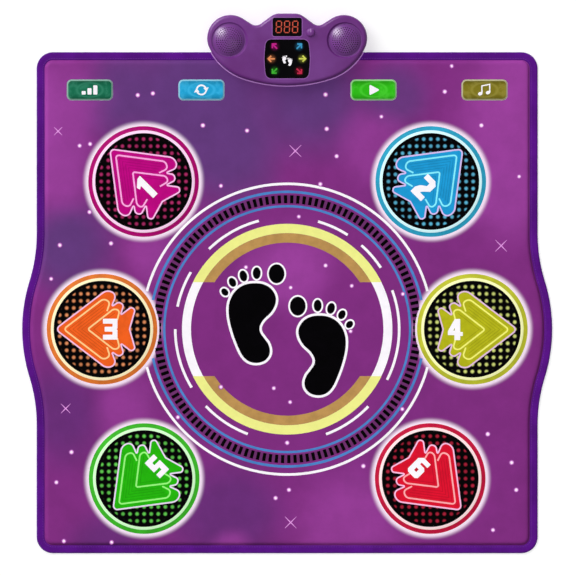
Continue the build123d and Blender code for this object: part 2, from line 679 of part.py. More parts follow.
with BuildPart() as arrow_leds:
    with BuildSketch(Plane.XY.offset(BOARD_TOP)):
        with Locations(*LIGHT_PLACES, CENTRE_LIGHT):
            Rectangle(5, 5)
    extrude(amount=1.6)
write(arrow_leds, "arrow_leds")

with BuildPart() as main_board:
    with BuildSketch(Plane.XY.offset(BOARD_LOW)):
        with Locations((0, 399)):
            Rectangle(94, 78)
        with Locations((0, 445)):
            Rectangle(52, 16)
        with Locations(*BOARD_SCREW_PLACES):
            Circle(1.3, mode=Mode.SUBTRACT)
    extrude(amount=BOARD_TOP - BOARD_LOW)
    # Processor, amplifier and the film-tail socket on its underside.
    with BuildSketch(Plane.XY.offset(BOARD_LOW)):
        with Locations((-16, 400), (18, 410)):
            Rectangle(14, 14)
    extrude(amount=-1.8)
    with BuildSketch(Plane.XY.offset(BOARD_LOW)):
        with Locations((0, 374)):
            Rectangle(26, 4.5)
    extrude(amount=-3)
write(main_board, "main_board")

with BuildPart() as ribbon_tail:
    with BuildSketch(Plane.YZ.offset(-10)):
        with BuildLine():
            FilletPolyline(
                (CONSOLE_FRONT + TONGUE, SPACER_TOP + FILM / 2),
                (374, SPACER_TOP + FILM / 2),
                (374, BOARD_LOW - 3),
                radius=3,
            )
        trace(line_width=FILM)
    extrude(amount=20)
    with BuildSketch(Plane.XY.offset(SPACER_TOP - 1)):
        add(console_outline(TONGUE))
    extrude(amount=BOARD_LOW - SPACER_TOP, mode=Mode.INTERSECT)
write(ribbon_tail, "ribbon_tail")


# ---- Console: volume control --------------------------------------------------------------------
with BuildPart() as volume_switch:
    with BuildSketch(Plane.XY.offset(BOARD_TOP)):
        with Locations((KNOB_X, KNOB_Y)):
            Rectangle(11, 11)
    extrude(amount=6)
    with BuildSketch(Plane.XY.offset(BOARD_TOP + 6)):
        with Locations((KNOB_X, KNOB_Y)):
            Circle(4.6)
    extrude(amount=4)
    with BuildSketch(Plane.XY.offset(BOARD_TOP + 1)):
        with Locations((KNOB_X, KNOB_Y)):
            Circle(SHAFT_R + 0.06)
    extrude(amount=12, mode=Mode.SUBTRACT)
write(volume_switch, "volume_switch")

with BuildPart() as switch_shaft:
    with BuildSketch(Plane.XY.offset(BOARD_TOP + 1.2)):
        with Locations((KNOB_X, KNOB_Y)):
            Circle(SHAFT_R)
    extrude(amount=KNOB_LOW + 5 - BOARD_TOP - 1.2)
write(switch_shaft, "switch_shaft")

with BuildPart() as volume_knob:
    with BuildSketch(section_plane(KNOB_X, KNOB_Y)):
        with BuildLine():
            top = KNOB_LOW + KNOB_HEIGHT
            Polyline((0, top), (0, KNOB_LOW), (KNOB_R, KNOB_LOW), (KNOB_R, KNOB_LOW + 1.6))
            Line((KNOB_R, KNOB_LOW + 1.6), (KNOB_R - 1.2, KNOB_LOW + 5.2))
            TangentArc((0, top), (KNOB_R - 1.2, KNOB_LOW + 5.2), tangent=(1, 0))
        make_face()
    revolve(axis=Axis((KNOB_X, KNOB_Y, 0), (0, 0, 1)))
    with BuildSketch(Plane.XY.offset(KNOB_LOW + 0.4)):
        with Locations((KNOB_X, KNOB_Y)):
            with PolarLocations(KNOB_R, 18):
                Circle(0.55, mode=Mode.ADD)
    extrude(amount=4.0, mode=Mode.SUBTRACT)
    # Pointer rib
    with BuildSketch(Plane.XY.offset(KNOB_LOW + 4)):
        with Locations((KNOB_X, KNOB_Y + 3.6)):
            RectangleRounded(1.8, 6.4, 0.85)
    extrude(amount=KNOB_HEIGHT - 4 + 0.2)
    with BuildSketch(Plane.XY.offset(KNOB_LOW)):
        with Locations((KNOB_X, KNOB_Y)):
            Circle(SHAFT_R)
    extrude(amount=5, mode=Mode.SUBTRACT)
write(volume_knob, "volume_knob")


# ---- Console: batteries -------------------------------------------------------------------------
CELL_ROWS = [(BAY_Y + (row - 1.5) * CELL_PITCH, 1 if row % 2 else -1) for row in range(4)]
CELL_END = BAY_X - CONTACT

with BuildPart() as battery_door:
    with BuildSketch(Plane.XY.offset(PLATE_LOW)):
        add(console_outline(0.8))
        with Locations((0, DOOR_FRONT + 50)):
            Rectangle(2 * DOOR_HALF, 100, mode=Mode.INTERSECT)
    extrude(amount=DOOR_TOP - PLATE_LOW)
    with BuildSketch(Plane.XY.offset(RAIL_LOW)):
        with Locations((0, DOOR_FRONT + 34)):
            Rectangle(2 * (DOOR_HALF + RAIL), 68)
    extrude(amount=DOOR_TOP - RAIL_LOW)
    # Finger ridges on the underside
    with BuildSketch(Plane.XY.offset(PLATE_LOW)):
        with Locations((0, CONSOLE_REAR - 14)):
            with GridLocations(0, 3, 1, 4):
                Rectangle(26, 1.2)
    extrude(amount=0.5, mode=Mode.SUBTRACT)
write(battery_door, "battery_door")

with BuildPart() as battery_cells:
    for row_y, facing in CELL_ROWS:
        foot = facing * (CELL_END - NUB)
        with BuildSketch(Plane(origin=(foot, row_y, CELL_Z), x_dir=(0, 1, 0), z_dir=(-facing, 0, 0))):
            Circle(CELL_R)
        extrude(amount=CELL_LENGTH)
        with BuildSketch(Plane(origin=(foot, row_y, CELL_Z), x_dir=(0, 1, 0), z_dir=(facing, 0, 0))):
            Circle(NUB_R)
        extrude(amount=NUB)
write(battery_cells, "battery_cells")

SPRING_R, WIRE_R = 2.8, 0.35
SPRING_SPAN = 2 * CELL_END - NUB - CELL_LENGTH
with BuildPart() as battery_contacts:
    for row_y, facing in CELL_ROWS:
        with Locations((BAY_X - CONTACT / 2, row_y, CELL_Z), (-BAY_X + CONTACT / 2, row_y, CELL_Z)):
            Box(CONTACT, 10, 10)
        seat = (-facing * (CELL_END + 0.1 - WIRE_R), row_y, CELL_Z)
        with BuildLine() as coil:
            Helix(1.2, SPRING_SPAN - 2 * WIRE_R, SPRING_R, center=seat, direction=(facing, 0, 0))
        with BuildSketch(Plane(origin=coil.line @ 0, z_dir=coil.line % 0)):
            Circle(WIRE_R)
        sweep(path=coil.line)
write(battery_contacts, "battery_contacts")


# ---- Fasteners and feet -------------------------------------------------------------------------
with BuildPart() as shell_screws:
    with BuildSketch(Plane.XY.offset(1.5)):
        with Locations(*SHELL_SCREW_PLACES):
            Circle(2.8)
    extrude(amount=1.8)
    with BuildSketch(Plane.XY.offset(3.3)):
        with Locations(*SHELL_SCREW_PLACES):
            Circle(1.5)
    extrude(amount=12.5)
    with BuildSketch(Plane.XY.offset(1.5)):
        with Locations(*SHELL_SCREW_PLACES):
            Rectangle(3.2, 0.7)
            Rectangle(0.7, 3.2)
    extrude(amount=1.0, mode=Mode.SUBTRACT)
write(shell_screws, "shell_screws")

with BuildPart() as small_screws:
    for seat_z, places in ((CLAMP_TOP, CLAMP_SCREW_PLACES), (BOARD_TOP, BOARD_SCREW_PLACES)):
        with BuildSketch(Plane.XY.offset(seat_z)):
            with Locations(*places):
                Circle(2.1)
        extrude(amount=1.5)
        with BuildSketch(Plane.XY.offset(seat_z)):
            with Locations(*places):
                Circle(1.0)
        extrude(amount=-9.4)
        with BuildSketch(Plane.XY.offset(seat_z + 1.5)):
            with Locations(*places):
                Rectangle(2.4, 0.5)
                Rectangle(0.5, 2.4)
        extrude(amount=-0.8, mode=Mode.SUBTRACT)
write(small_screws, "small_screws")

with BuildPart() as rubber_feet:
    with BuildSketch():
        with Locations(*FEET_PLACES):
            Circle(FOOT_R)
    extrude(amount=PLATE_LOW)
    fillet(rubber_feet.faces().group_by(Axis.Z)[0].edges(), 0.4)
write(rubber_feet, "rubber_feet")
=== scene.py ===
"""Dance rhythm mat: printed and padded foot mat with six step pads and a sound console on its rear edge."""

import random
from math import acos, asin, atan2, cos, degrees, hypot, pi, radians, sin, sqrt, tan

import bmesh
import bpy
import numpy as np
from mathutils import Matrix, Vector, noise
from mathutils.geometry import delaunay_2d_cdt


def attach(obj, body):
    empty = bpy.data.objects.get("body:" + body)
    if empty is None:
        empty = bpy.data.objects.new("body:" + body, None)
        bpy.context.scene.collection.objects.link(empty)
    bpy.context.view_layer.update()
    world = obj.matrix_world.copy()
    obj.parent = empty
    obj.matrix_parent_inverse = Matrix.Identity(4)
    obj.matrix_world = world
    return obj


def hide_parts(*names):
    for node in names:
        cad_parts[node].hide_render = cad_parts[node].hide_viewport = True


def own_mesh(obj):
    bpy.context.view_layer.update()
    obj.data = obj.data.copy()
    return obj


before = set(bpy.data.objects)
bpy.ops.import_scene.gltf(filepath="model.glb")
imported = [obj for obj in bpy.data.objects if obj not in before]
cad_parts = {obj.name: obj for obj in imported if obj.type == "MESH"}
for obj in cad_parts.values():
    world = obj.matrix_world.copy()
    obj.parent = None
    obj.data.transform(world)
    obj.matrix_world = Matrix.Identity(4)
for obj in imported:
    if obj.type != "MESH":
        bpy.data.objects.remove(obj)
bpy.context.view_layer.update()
MM = 0.001

# ---- The mat's plan, in millimetres, as the CAD has it ----
FRONT, REAR, SIDE = -464.0, 398.0, 431.0
CORNER, SWELL, SWELL_RUN, MIDDLE = 28.0, 25.0, 165.0, -78.5
MAT_TOP = 8.8
PADS = {
    1: (-247.0, 175.5, 135),
    2: (247.0, 175.5, 45),
    3: (-318.5, -78.5, 180),
    4: (318.5, -78.5, 0),
    5: (-246.0, -335.5, 225),
    6: (246.0, -335.5, 315),
}
PAD_R, PAD_FLAT_R, PAD_CROWN, PAD_TRAVEL = 97.0, 82.0, 2.4, 2.2
BUTTON_Y, BUTTON_SIZE, BUTTON_CORNER = 333.0, (79.0, 35.6), 8.6
BUTTON_CROWN, BUTTON_TRAVEL = 1.4, 1.2
BUTTONS = {"levels": -339.5, "mode": -147.5, "start": 148.5, "music": 339.5}
PANEL_Y, PANEL_TOP = 385.8, 39.0
WINDOW_Y, WINDOW_TOP = 440.6, 38.6
KNOB = (40.4, 431.0)
CURVE_Y, CURVE_R = 543.7, 203.0  # the console's front curve: its centre's place and its radius


# ---- Lines and outlines ----
def arc(centre, r, start, end, step=5.0):
    """Points on an arc from start to end, in degrees."""
    n = max(2, int(abs(end - start) / step) + 1)
    angles = [radians(start + (end - start) * k / n) for k in range(n + 1)]
    return [(centre[0] + r * cos(a), centre[1] + r * sin(a)) for a in angles]


def rounded(points, r, closed=True, step=14.0):
    """A polyline with its corners rounded to radius r, which is a number or one for each point."""
    out = []
    n = len(points)
    radii = r if isinstance(r, list) else [r] * n
    for i, (p, ri) in enumerate(zip(map(Vector, points), radii)):
        if ri <= 0 or (not closed and i in (0, n - 1)):
            out.append((p.x, p.y))
            continue
        a = Vector(points[i - 1]) - p
        b = Vector(points[(i + 1) % n]) - p
        half = a.angle(b) / 2
        run = min(ri / tan(half), a.length * 0.49, b.length * 0.49)
        a.normalize()
        b.normalize()
        c = p + (a + b).normalized() * (run / cos(half))
        va, vb = p + a * run - c, p + b * run - c
        turn = degrees(atan2(va.x * vb.y - va.y * vb.x, va.dot(vb)))
        start = degrees(atan2(va.y, va.x))
        out += arc((c.x, c.y), va.length, start, start + turn, step)
    return out


def smooth(points, per):
    """A smooth closed line through the points."""
    out = []
    n = len(points)
    for i in range(n):
        p0, p1, p2, p3 = (Vector(points[(i + k) % n]) for k in (-1, 0, 1, 2))
        for k in range(per):
            t = k / per
            q = p1 * 2 + (p2 - p0) * t + (p0 * 2 - p1 * 5 + p2 * 4 - p3) * t * t
            q = (q + (p1 * 3 - p0 - p2 * 3 + p3) * t**3) / 2
            out.append((q.x, q.y))
    return out


def moved(points, centre=(0, 0), angle=0, scale=1.0):
    """Points turned by an angle in degrees, scaled and moved to a centre."""
    ca, sa = scale * cos(radians(angle)), scale * sin(radians(angle))
    return [(centre[0] + x * ca - y * sa, centre[1] + x * sa + y * ca) for x, y in points]


def box(x, y, w, h):
    """A rectangle's corners, from its centre and half its width and height."""
    return [(x - w, y - h), (x + w, y - h), (x + w, y + h), (x - w, y + h)]


def mirrored(half):
    """A line carried on by its own mirror image below the x axis."""
    return half + [(x, -y) for x, y in reversed(half[:-1])]


def half_run(y):
    """How far the mat's side swells at a height y in the plan."""
    t = abs(y - MIDDLE)
    h = SWELL_RUN / 2
    r = ((SWELL / 2) ** 2 + h**2) / SWELL
    if t < h:
        return SWELL - (r - sqrt(r * r - t * t))
    if t < SWELL_RUN:
        return r - sqrt(r * r - (SWELL_RUN - t) ** 2)
    return 0.0


def console_cut(y):
    """Half the width of the passage that the console leaves for the mat's edge, at y."""
    return 102.7 + (y - 375.5) * 0.96


def mat_ring(inset):
    """The mat's outline pulled in by inset, from the console's right side round to its left side."""
    x, r = SIDE - CORNER, CORNER
    steps = [12.0 * k for k in range(1, 34)]
    ys = [REAR - r - s for s in steps if REAR - r - s > MIDDLE + SWELL_RUN + 3]
    ys += [MIDDLE + SWELL_RUN * k / 26 for k in range(26, -27, -1)]
    ys += [MIDDLE - SWELL_RUN - s for s in steps if MIDDLE - SWELL_RUN - s > FRONT + r + 3]
    half = arc((x, REAR - r), r, 90, 0, 9.5) + [(SIDE + half_run(y), y) for y in ys]
    half += arc((x, FRONT + r), r, 0, -90, 9.5) + [(x - s, FRONT) for s in steps] + [(0.0, FRONT)]
    line = half + [(-px, py) for px, py in reversed(half[:-1])]
    out = []
    for i, p in enumerate(line):
        a, b = line[max(i - 1, 0)], line[min(i + 1, len(line) - 1)]
        d = Vector((b[0] - a[0], b[1] - a[1])).normalized()
        if i in (0, len(line) - 1):
            d = Vector((1, 0))
        out.append((p[0] + d.y * inset, p[1] - d.x * inset))
    edge = REAR - inset
    cut = console_cut(edge)
    rear = [(cut + (x - cut) * k / 24, edge) for k in range(24)]
    return rear + out + [(-px, py) for px, py in reversed(rear)]


def notch_curve(inset):
    """The points that end an outline along the console's front curve, from its left side to its right."""
    half = console_cut(REAR - inset)
    xs = [half * k / 20 for k in range(-19, 20)]
    return [(x, CURVE_Y - sqrt((CURVE_R - 9.0) ** 2 - x * x)) for x in xs]


# ---- Meshes ----
def vert(bm, x, y, z):
    """A vertex at a place in millimetres."""
    return bm.verts.new((x * MM, y * MM, z * MM))


def circle_row(bm, centre, radii, z):
    """A row of vertices round a centre, with a radius for each."""
    turns = [2 * pi * k / len(radii) for k in range(len(radii))]
    return [vert(bm, centre[0] + r * cos(a), centre[1] + r * sin(a), z) for r, a in zip(radii, turns)]


def skin(bm, rows, slots=0, closed=True, loop=False, caps=False):
    """Faces from row to row of vertices: rows may be closed, form a loop, or have their ends capped."""
    steps = list(zip(rows, rows[1:] + rows[:1] if loop else rows[1:]))
    if isinstance(slots, int):
        slots = [slots] * len(steps)
    for (a, b), slot in zip(steps, slots):
        for k in range(len(a) if closed else len(a) - 1):
            m = (k + 1) % len(a)
            bm.faces.new((a[k], a[m], b[m], b[k])).material_index = slot
    if caps:
        for end in (rows[0], rows[-1][::-1]):
            bm.faces.new(end).material_index = slots[0]


def slab(bm, outline, low, high, slot=0):
    """A flat plate with one closed outline."""
    skin(bm, [[vert(bm, x, y, z) for x, y in outline] for z in (high, low)], slot, caps=True)


def strip(bm, line, width, low, high, slot=0, closed=True):
    """A flat plate of constant width along a line."""
    n = len(line)
    corners = ((1, high), (-1, high), (-1, low), (1, low))
    rows = []
    for i, p in enumerate(line):
        a = line[i - 1] if closed or i else p
        b = line[(i + 1) % n] if closed or i < n - 1 else p
        d = Vector((b[0] - a[0], b[1] - a[1])).normalized()
        into = Vector((p[0] - a[0], p[1] - a[1]))
        stretch = 1.0
        if into.length > 0:
            stretch = min(1 / max(abs(into.normalized().dot(d)), 0.4), 1.6)
        off = Vector((-d.y, d.x)) * (width / 2 * stretch)
        rows.append([vert(bm, p[0] + side * off.x, p[1] + side * off.y, z) for side, z in corners])
    skin(bm, rows, slot, loop=closed, caps=not closed)


def drape(bm, ground, proud):
    """Lays flat work on a curved surface: ground is its height at x and y, proud the rise for each z."""
    for v in bm.verts:
        x, y, z = (c / MM for c in v.co)
        v.co.z = (ground(x, y) + proud(z)) * MM


def add(name, data):
    """A new object in the scene."""
    obj = bpy.data.objects.new(name, data)
    bpy.context.scene.collection.objects.link(obj)
    return obj


def make(name, bm, materials, body, soft=40):
    """An object from a bmesh, riding on a CAD body."""
    bmesh.ops.recalc_face_normals(bm, faces=bm.faces)
    bmesh.ops.triangulate(bm, faces=[f for f in bm.faces if len(f.verts) > 4], ngon_method="EAR_CLIP")
    mesh = bpy.data.meshes.new(name)
    bm.to_mesh(mesh)
    rims = [e.index for e in bm.edges if e.is_boundary]
    bm.free()
    obj = add(name, mesh)
    for m in materials:
        mesh.materials.append(m)
    mesh.polygons.foreach_set("use_smooth", [True] * len(mesh.polygons))
    mesh.set_sharp_from_angle(angle=radians(soft))
    for k in rims:
        mesh.edges[k].use_edge_sharp = True
    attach(obj, body)
    return obj


def thicken(obj):
    """Gives a skin the thickness of the cloth, inwards."""
    cloth = obj.modifiers.new("thickness", "SOLIDIFY")
    cloth.thickness = 0.8 * MM
    cloth.offset = -1


def soft_cover(surface, node):
    """Makes a surface the cloth over a padded CAD node, which it hides, and gives the surface the cloth's
    thickness and its own mesh.
    """
    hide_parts(node)
    thicken(surface)
    bpy.context.view_layer.update()
    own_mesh(surface)


# ---- Materials ----
def linear(rgb):
    """sRGB values from 0 to 255 as linear light."""
    return tuple(((c / 255 + 0.055) / 1.055) ** 2.4 if c > 10 else c / 255 / 12.92 for c in rgb)


def tone(colour, times, lift=0.0):
    """A linear colour made darker or paler."""
    return tuple(min(v * times + lift, 1) for v in colour)


class Nodes:
    """Short ways to add and join shader nodes in one material."""

    def __init__(self, name):
        self.material = bpy.data.materials.new(name)
        self.material.use_nodes = True
        self.tree = self.material.node_tree
        self.shader = self.tree.nodes["Principled BSDF"]
        self.place = self.node("TexCoord", {}, "Object")

    def put(self, socket, value):
        if isinstance(value, bpy.types.NodeSocket):
            self.tree.links.new(value, socket)
        else:
            socket.default_value = value

    def node(self, kind, inputs, output=0, **settings):
        """One of the outputs of a new shader node, with its inputs joined or set."""
        n = self.tree.nodes.new("ShaderNode" + kind)
        for key, value in settings.items():
            setattr(n, key, value)
        for key, value in inputs.items():
            self.put(n.inputs[key], value)
        return n.outputs[output]

    def math(self, kind, a, b=0.0):
        return self.node("Math", {0: a, 1: b}, operation=kind)

    def vector(self, kind, a, b=(0, 0, 0), scale=1.0):
        output = 1 if kind in ("LENGTH", "DISTANCE") else 0
        return self.node("VectorMath", {0: a, 1: b, 3: scale}, output, operation=kind)

    def noise(self, scale, detail=3.0, rough=0.5, at=None, output=0):
        inputs = {"Vector": at or self.place, "Scale": scale, "Detail": detail, "Roughness": rough}
        return self.node("TexNoise", inputs, output)

    def fade(self, value, low, high, out_low=0.0, out_high=1.0):
        """A value carried smoothly from one range to another."""
        inputs = dict(enumerate((value, low, high, out_low, out_high)))
        return self.node("MapRange", inputs, interpolation_type="SMOOTHSTEP")

    def patches(self, scale, detail=3.0, low=0.0, high=1.0, rough=0.5):
        """Soft patches of noise, from low to high."""
        return self.fade(self.noise(scale, detail, rough), 0.3, 0.7, low, high)

    def split(self, axis, of=None):
        """One axis of the place on the surface, or of another vector."""
        return self.node("SeparateXYZ", {0: of or self.place}, axis)

    def wave(self, scale, direction):
        inputs = {"Vector": self.place, "Scale": scale}
        return self.node("TexWave", inputs, "Fac", bands_direction=direction)

    def mix(self, share, *colours):
        a, b = ((*c, 1.0) if isinstance(c, tuple) and len(c) == 3 else c for c in colours)
        return self.node("Mix", {0: share, 6: a, 7: b}, 2, data_type="RGBA")

    def flat(self):
        """The place on the mat with its height left out."""
        return self.vector("MULTIPLY", self.place, (1, 1, 0))

    def near(self, x, y):
        """The distance in the plan from a place given in millimetres."""
        return self.vector("DISTANCE", self.flat(), (x * MM, y * MM, 0))

    def bump(self, height, distance, strength=1.0):
        inputs = {"Strength": strength, "Distance": distance, "Height": height}
        self.put(self.shader.inputs["Normal"], self.node("Bump", inputs))

    def finish(self, colour, rough, specular=0.5, **more):
        self.put(self.shader.inputs["Base Color"], colour)
        self.put(self.shader.inputs["Roughness"], rough)
        self.shader.inputs["Specular IOR Level"].default_value = specular
        for key, value in more.items():
            self.shader.inputs[key.replace("_", " ")].default_value = value
        return self.material


def vinyl_surface(n, colour, specular=0.07):
    """Printed vinyl cloth: a fine woven backing telegraphs through a thin soft print."""
    weave = n.math("MULTIPLY", n.wave(420, "X"), n.wave(420, "Y"))
    n.bump(n.math("ADD", n.math("MULTIPLY", weave, 0.5), n.noise(900, 2)), 0.00012, 0.35)
    return n.finish(colour, n.patches(35, 3, 0.5, 0.62), specular)


def ink(name, rgb, vary=0.10, specular=0.06):
    """Screen-print ink: a slightly uneven coat."""
    n = Nodes(name)
    c = linear(rgb)
    colour = n.mix(n.patches(60, 4, rough=0.6), tone(c, 1 - vary), tone(c, 1 + vary))
    n.bump(n.noise(700, 2), 0.00006, 0.4)
    return n.finish(colour, n.patches(90, 3, 0.45, 0.6), specular)


def moulded(name, rgb, rough=0.36, grain=0.00006, vary=0.05, specular=0.5, patch=None):
    """Moulded plastic: fine spark-eroded grain, faint flow marks or patches, and paler worn edges."""
    n = Nodes(name)
    c = linear(rgb)
    low = linear(patch) if patch else tone(c, 1 - vary)
    colour = n.mix(n.patches(14, 3, rough=0.55), low, tone(c, 1 + vary, 0.002))
    edge = n.node("NewGeometry", {}, "Pointiness")
    worn = n.math("MULTIPLY", n.fade(edge, 0.53, 0.62), n.fade(n.noise(160, 4), 0.35, 0.65, 0.1, 0.45))
    colour = n.mix(worn, colour, tone(c, 1.5, 0.02))
    n.bump(n.noise(1500, 2, 0.6), grain, 0.5)
    return n.finish(colour, n.patches(50, 3, rough - 0.05, rough + 0.07), specular)


def brushed(name, rgb, rough=0.3, metal=1.0):
    """Plated or painted metal with fine scratches."""
    n = Nodes(name)
    c = linear(rgb)
    marks = n.noise(500, 4, 0.7, at=n.vector("MULTIPLY", n.place, (1, 14, 1)))
    colour = n.mix(n.fade(marks, 0.35, 0.65), tone(c, 0.85), c)
    n.bump(marks, 0.00003, 0.4)
    return n.finish(colour, n.fade(marks, 0.3, 0.7, rough, rough + 0.15), 0.5, Metallic=metal)


def galaxy_colour(n):
    """The night-sky print of the cover: violet ground, soft magenta and slate clouds, and pad glows."""
    drift = n.vector("SUBTRACT", n.noise(3.2, at=n.flat(), output="Color"), (0.5, 0.5, 0.5))
    soft = n.vector("ADD", n.flat(), n.vector("SCALE", drift, scale=0.09))
    colour = linear((125, 43, 125))
    slate, plum, magenta = (97, 55, 122), (103, 43, 117), (151, 61, 152)
    clouds = [
        ((-160, 310), 170, slate, 1.0), ((-290, 320), 90, slate, 0.9), ((40, 320), 120, slate, 1.0),
        ((-110, 230), 110, slate, 0.95), ((190, 320), 70, slate, 0.8), ((-370, 70), 105, slate, 1.0),
        ((-400, -220), 100, plum, 1.0), ((-310, -445), 80, plum, 0.9), ((-110, -390), 115, plum, 1.0),
        ((-405, 290), 105, magenta, 1.0), ((-400, 200), 90, magenta, 0.95), ((400, 300), 130, magenta, 1.0),
        ((390, 170), 115, magenta, 0.9), ((150, 235), 70, magenta, 0.6), ((0, 30), 90, magenta, 0.95),
        ((-230, 50), 60, magenta, 0.7), ((-280, -210), 65, magenta, 0.6), ((105, -420), 120, magenta, 0.75),
        ((-110, -455), 45, magenta, 0.8),
    ]
    for (x, y), size, rgb, strength in clouds:
        d = n.vector("DISTANCE", soft, (x * MM, y * MM, 0))
        colour = n.mix(n.fade(d, size * 0.3 * MM, size * 1.15 * MM, strength, 0.0), colour, linear(rgb))
    colour = n.vector("SCALE", colour, scale=n.patches(28, 5, 0.95, 1.06, 0.6))
    nearest = 1.0
    for x, y, _ in PADS.values():
        nearest = n.math("MINIMUM", nearest, n.near(x, y))
    halo = n.math("POWER", n.fade(nearest, 0.0960, 0.1078, 1.0, 0.0), 1.5)
    return n.mix(n.math("MULTIPLY", halo, 0.97), colour, linear((252, 232, 250)))


def dotted_material(name, centre, rgb):
    """The pads' black disc with a grid of soft coloured dots."""
    n = Nodes(name)
    pitch = 12.15 * MM
    local = n.vector("SUBTRACT", n.flat(), (centre[0] * MM, centre[1] * MM, 0))
    squares = []
    for axis in (0, 1):
        scaled = n.math("DIVIDE", n.split(axis, local), pitch)
        off = n.math("SUBTRACT", scaled, n.math("ROUND", scaled))
        squares.append(n.math("POWER", off, 2))
    dot = n.fade(n.math("SQRT", n.math("ADD", *squares)), 0.10, 0.36, 1.0, 0.0)
    inside = n.fade(n.vector("LENGTH", local), 0.0770, 0.0785, 1.0, 0.0)
    c = linear(rgb)
    lit = n.mix(n.patches(26, 2), tone(c, 0.85), tone(c, 1.25))
    return vinyl_surface(n, n.mix(n.math("MULTIPLY", dot, inside), (0.0012, 0.0008, 0.0012), lit), 0.02)


# ---- The mat ----
sky = Nodes("cover_print")
cover_print = vinyl_surface(sky, galaxy_colour(sky))
SHOULDER = [  # how far in from the edge, and how high, the cover's rounded rim passes
    (12.6, 2.85), (14.2, 2.95), (15.0, 4.0), (15.4, 5.4), (16.3, 6.9), (17.7, 8.0), (19.5, 8.65),
    (22.5, 8.85),
]


def wobble(x, y, size, seed=0.0):
    """Smooth noise between minus one and one."""
    return noise.noise(Vector((x / size, y / size, seed))) * 1.7


def button_outline(x, grow=0.0, step=14.0):
    """A button's outline moved out by grow."""
    corners = box(x, BUTTON_Y, BUTTON_SIZE[0] / 2 + grow, BUTTON_SIZE[1] / 2 + grow)
    return rounded(corners, max(BUTTON_CORNER + grow, 1.5), step=step)


def inside_polygon(px, py, outline):
    """Which of the points lie inside a closed outline."""
    inside = np.zeros(len(px), bool)
    for (x0, y0), (x1, y1) in zip(outline, outline[1:] + outline[:1]):
        if y0 != y1:
            inside ^= ((y0 > py) != (y1 > py)) & (px < (x1 - x0) * (py - y0) / (y1 - y0) + x0)
    return inside


def puff(x, y):
    """The cover's gentle rise between its welded rims, and the ripples of cloth that has been folded."""
    room = min(hypot(x - px, y - py) - PAD_R for px, py, _ in PADS.values())
    for bx in BUTTONS.values():
        room = min(room, max(abs(x - bx) - BUTTON_SIZE[0] / 2, abs(y - BUTTON_Y) - BUTTON_SIZE[1] / 2))
    side = min(SIDE + half_run(y) - abs(x), y - FRONT, REAR - y) - 22.5
    console = hypot(x, y - CURVE_Y) - CURVE_R if abs(x) < 150 else 50.0
    share = min(max(min(room / 14, side / 16, console / 14), 0.0), 1.0)
    share = share * share * (3 - 2 * share)
    return share * (0.55 + 0.35 * wobble(x, y, 70) + 0.14 * wobble(x, y, 22, 4.0))


def cover_height(x, y):
    return MAT_TOP + 0.05 + puff(x, y)


def build_cover():
    """The cover: its rounded rim, and a fine mesh with openings for the pads, buttons and console."""
    bm = bmesh.new()
    rings = [mat_ring(inset) for inset, _ in SHOULDER]
    rows = [[vert(bm, x, y, z) for x, y in ring] for ring, (_, z) in zip(rings, SHOULDER)]
    skin(bm, rows, closed=False)
    edge = rings[-1]
    outer = edge + notch_curve(SHOULDER[-1][0])
    loops = [outer]
    loops += [arc((x, y), PAD_R + 0.15, 0, 360, 3.75)[:-1] for x, y, _ in PADS.values()]
    loops += [button_outline(x, 0.3) for x in BUTTONS.values()]
    points, edges = [], []
    for loop in loops:
        start = len(points)
        points += loop
        edges += [(start + i, start + (i + 1) % len(loop)) for i in range(len(loop))]
    gx, gy = (g.ravel() for g in np.meshgrid(np.arange(-450, 451, 11.0), np.arange(-460, 396, 11.0)))
    gx = gx + (np.arange(len(gx)) % 2) * 0.01
    keep = inside_polygon(gx, gy, [(x * 0.992, y) for x, y in outer])
    keep &= gy > FRONT + 26
    for x, y, _ in PADS.values():
        keep &= np.hypot(gx - x, gy - y) > PAD_R + 14
    for x in BUTTONS.values():
        keep &= ~((abs(gx - x) < BUTTON_SIZE[0] / 2 + 4) & (abs(gy - BUTTON_Y) < BUTTON_SIZE[1] / 2 + 4))
    rims_end = len(points)
    for x, y, _ in PADS.values():
        for grow in (4.0, 9.0):
            points += arc((x, y), PAD_R + grow, 0, 360, 6.0)[:-1]
    points += list(zip(gx[keep], gy[keep]))
    verts, _, faces, source, _, _ = delaunay_2d_cdt([Vector(p) for p in points], edges, [], 0, 1e-6)
    mid = np.array([[sum(verts[i].x for i in f) / 3, sum(verts[i].y for i in f) / 3] for f in faces])
    use = inside_polygon(mid[:, 0], mid[:, 1], outer)
    for loop in loops[1:]:
        use &= ~inside_polygon(mid[:, 0], mid[:, 1], loop)
    made = {}
    for k, v in enumerate(verts):
        ring_id = next((i for i in source[k] if i < len(edge)), None)
        if ring_id is not None:
            made[k] = rows[-1][ring_id]
        else:
            on_rim = any(i < rims_end for i in source[k])
            made[k] = vert(bm, v.x, v.y, MAT_TOP if on_rim else cover_height(v.x, v.y))
    for f, ok in zip(faces, use):
        if ok and len({made[i] for i in f}) == 3:
            try:
                bm.faces.new([made[i] for i in f])
            except ValueError:
                pass
    bmesh.ops.delete(bm, geom=[v for v in bm.verts if not v.link_faces], context="VERTS")
    obj = make("printed_cover", bm, [cover_print], "mat", soft=60)
    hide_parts("top_cover")
    thicken(obj)
    return obj


cover = build_cover()


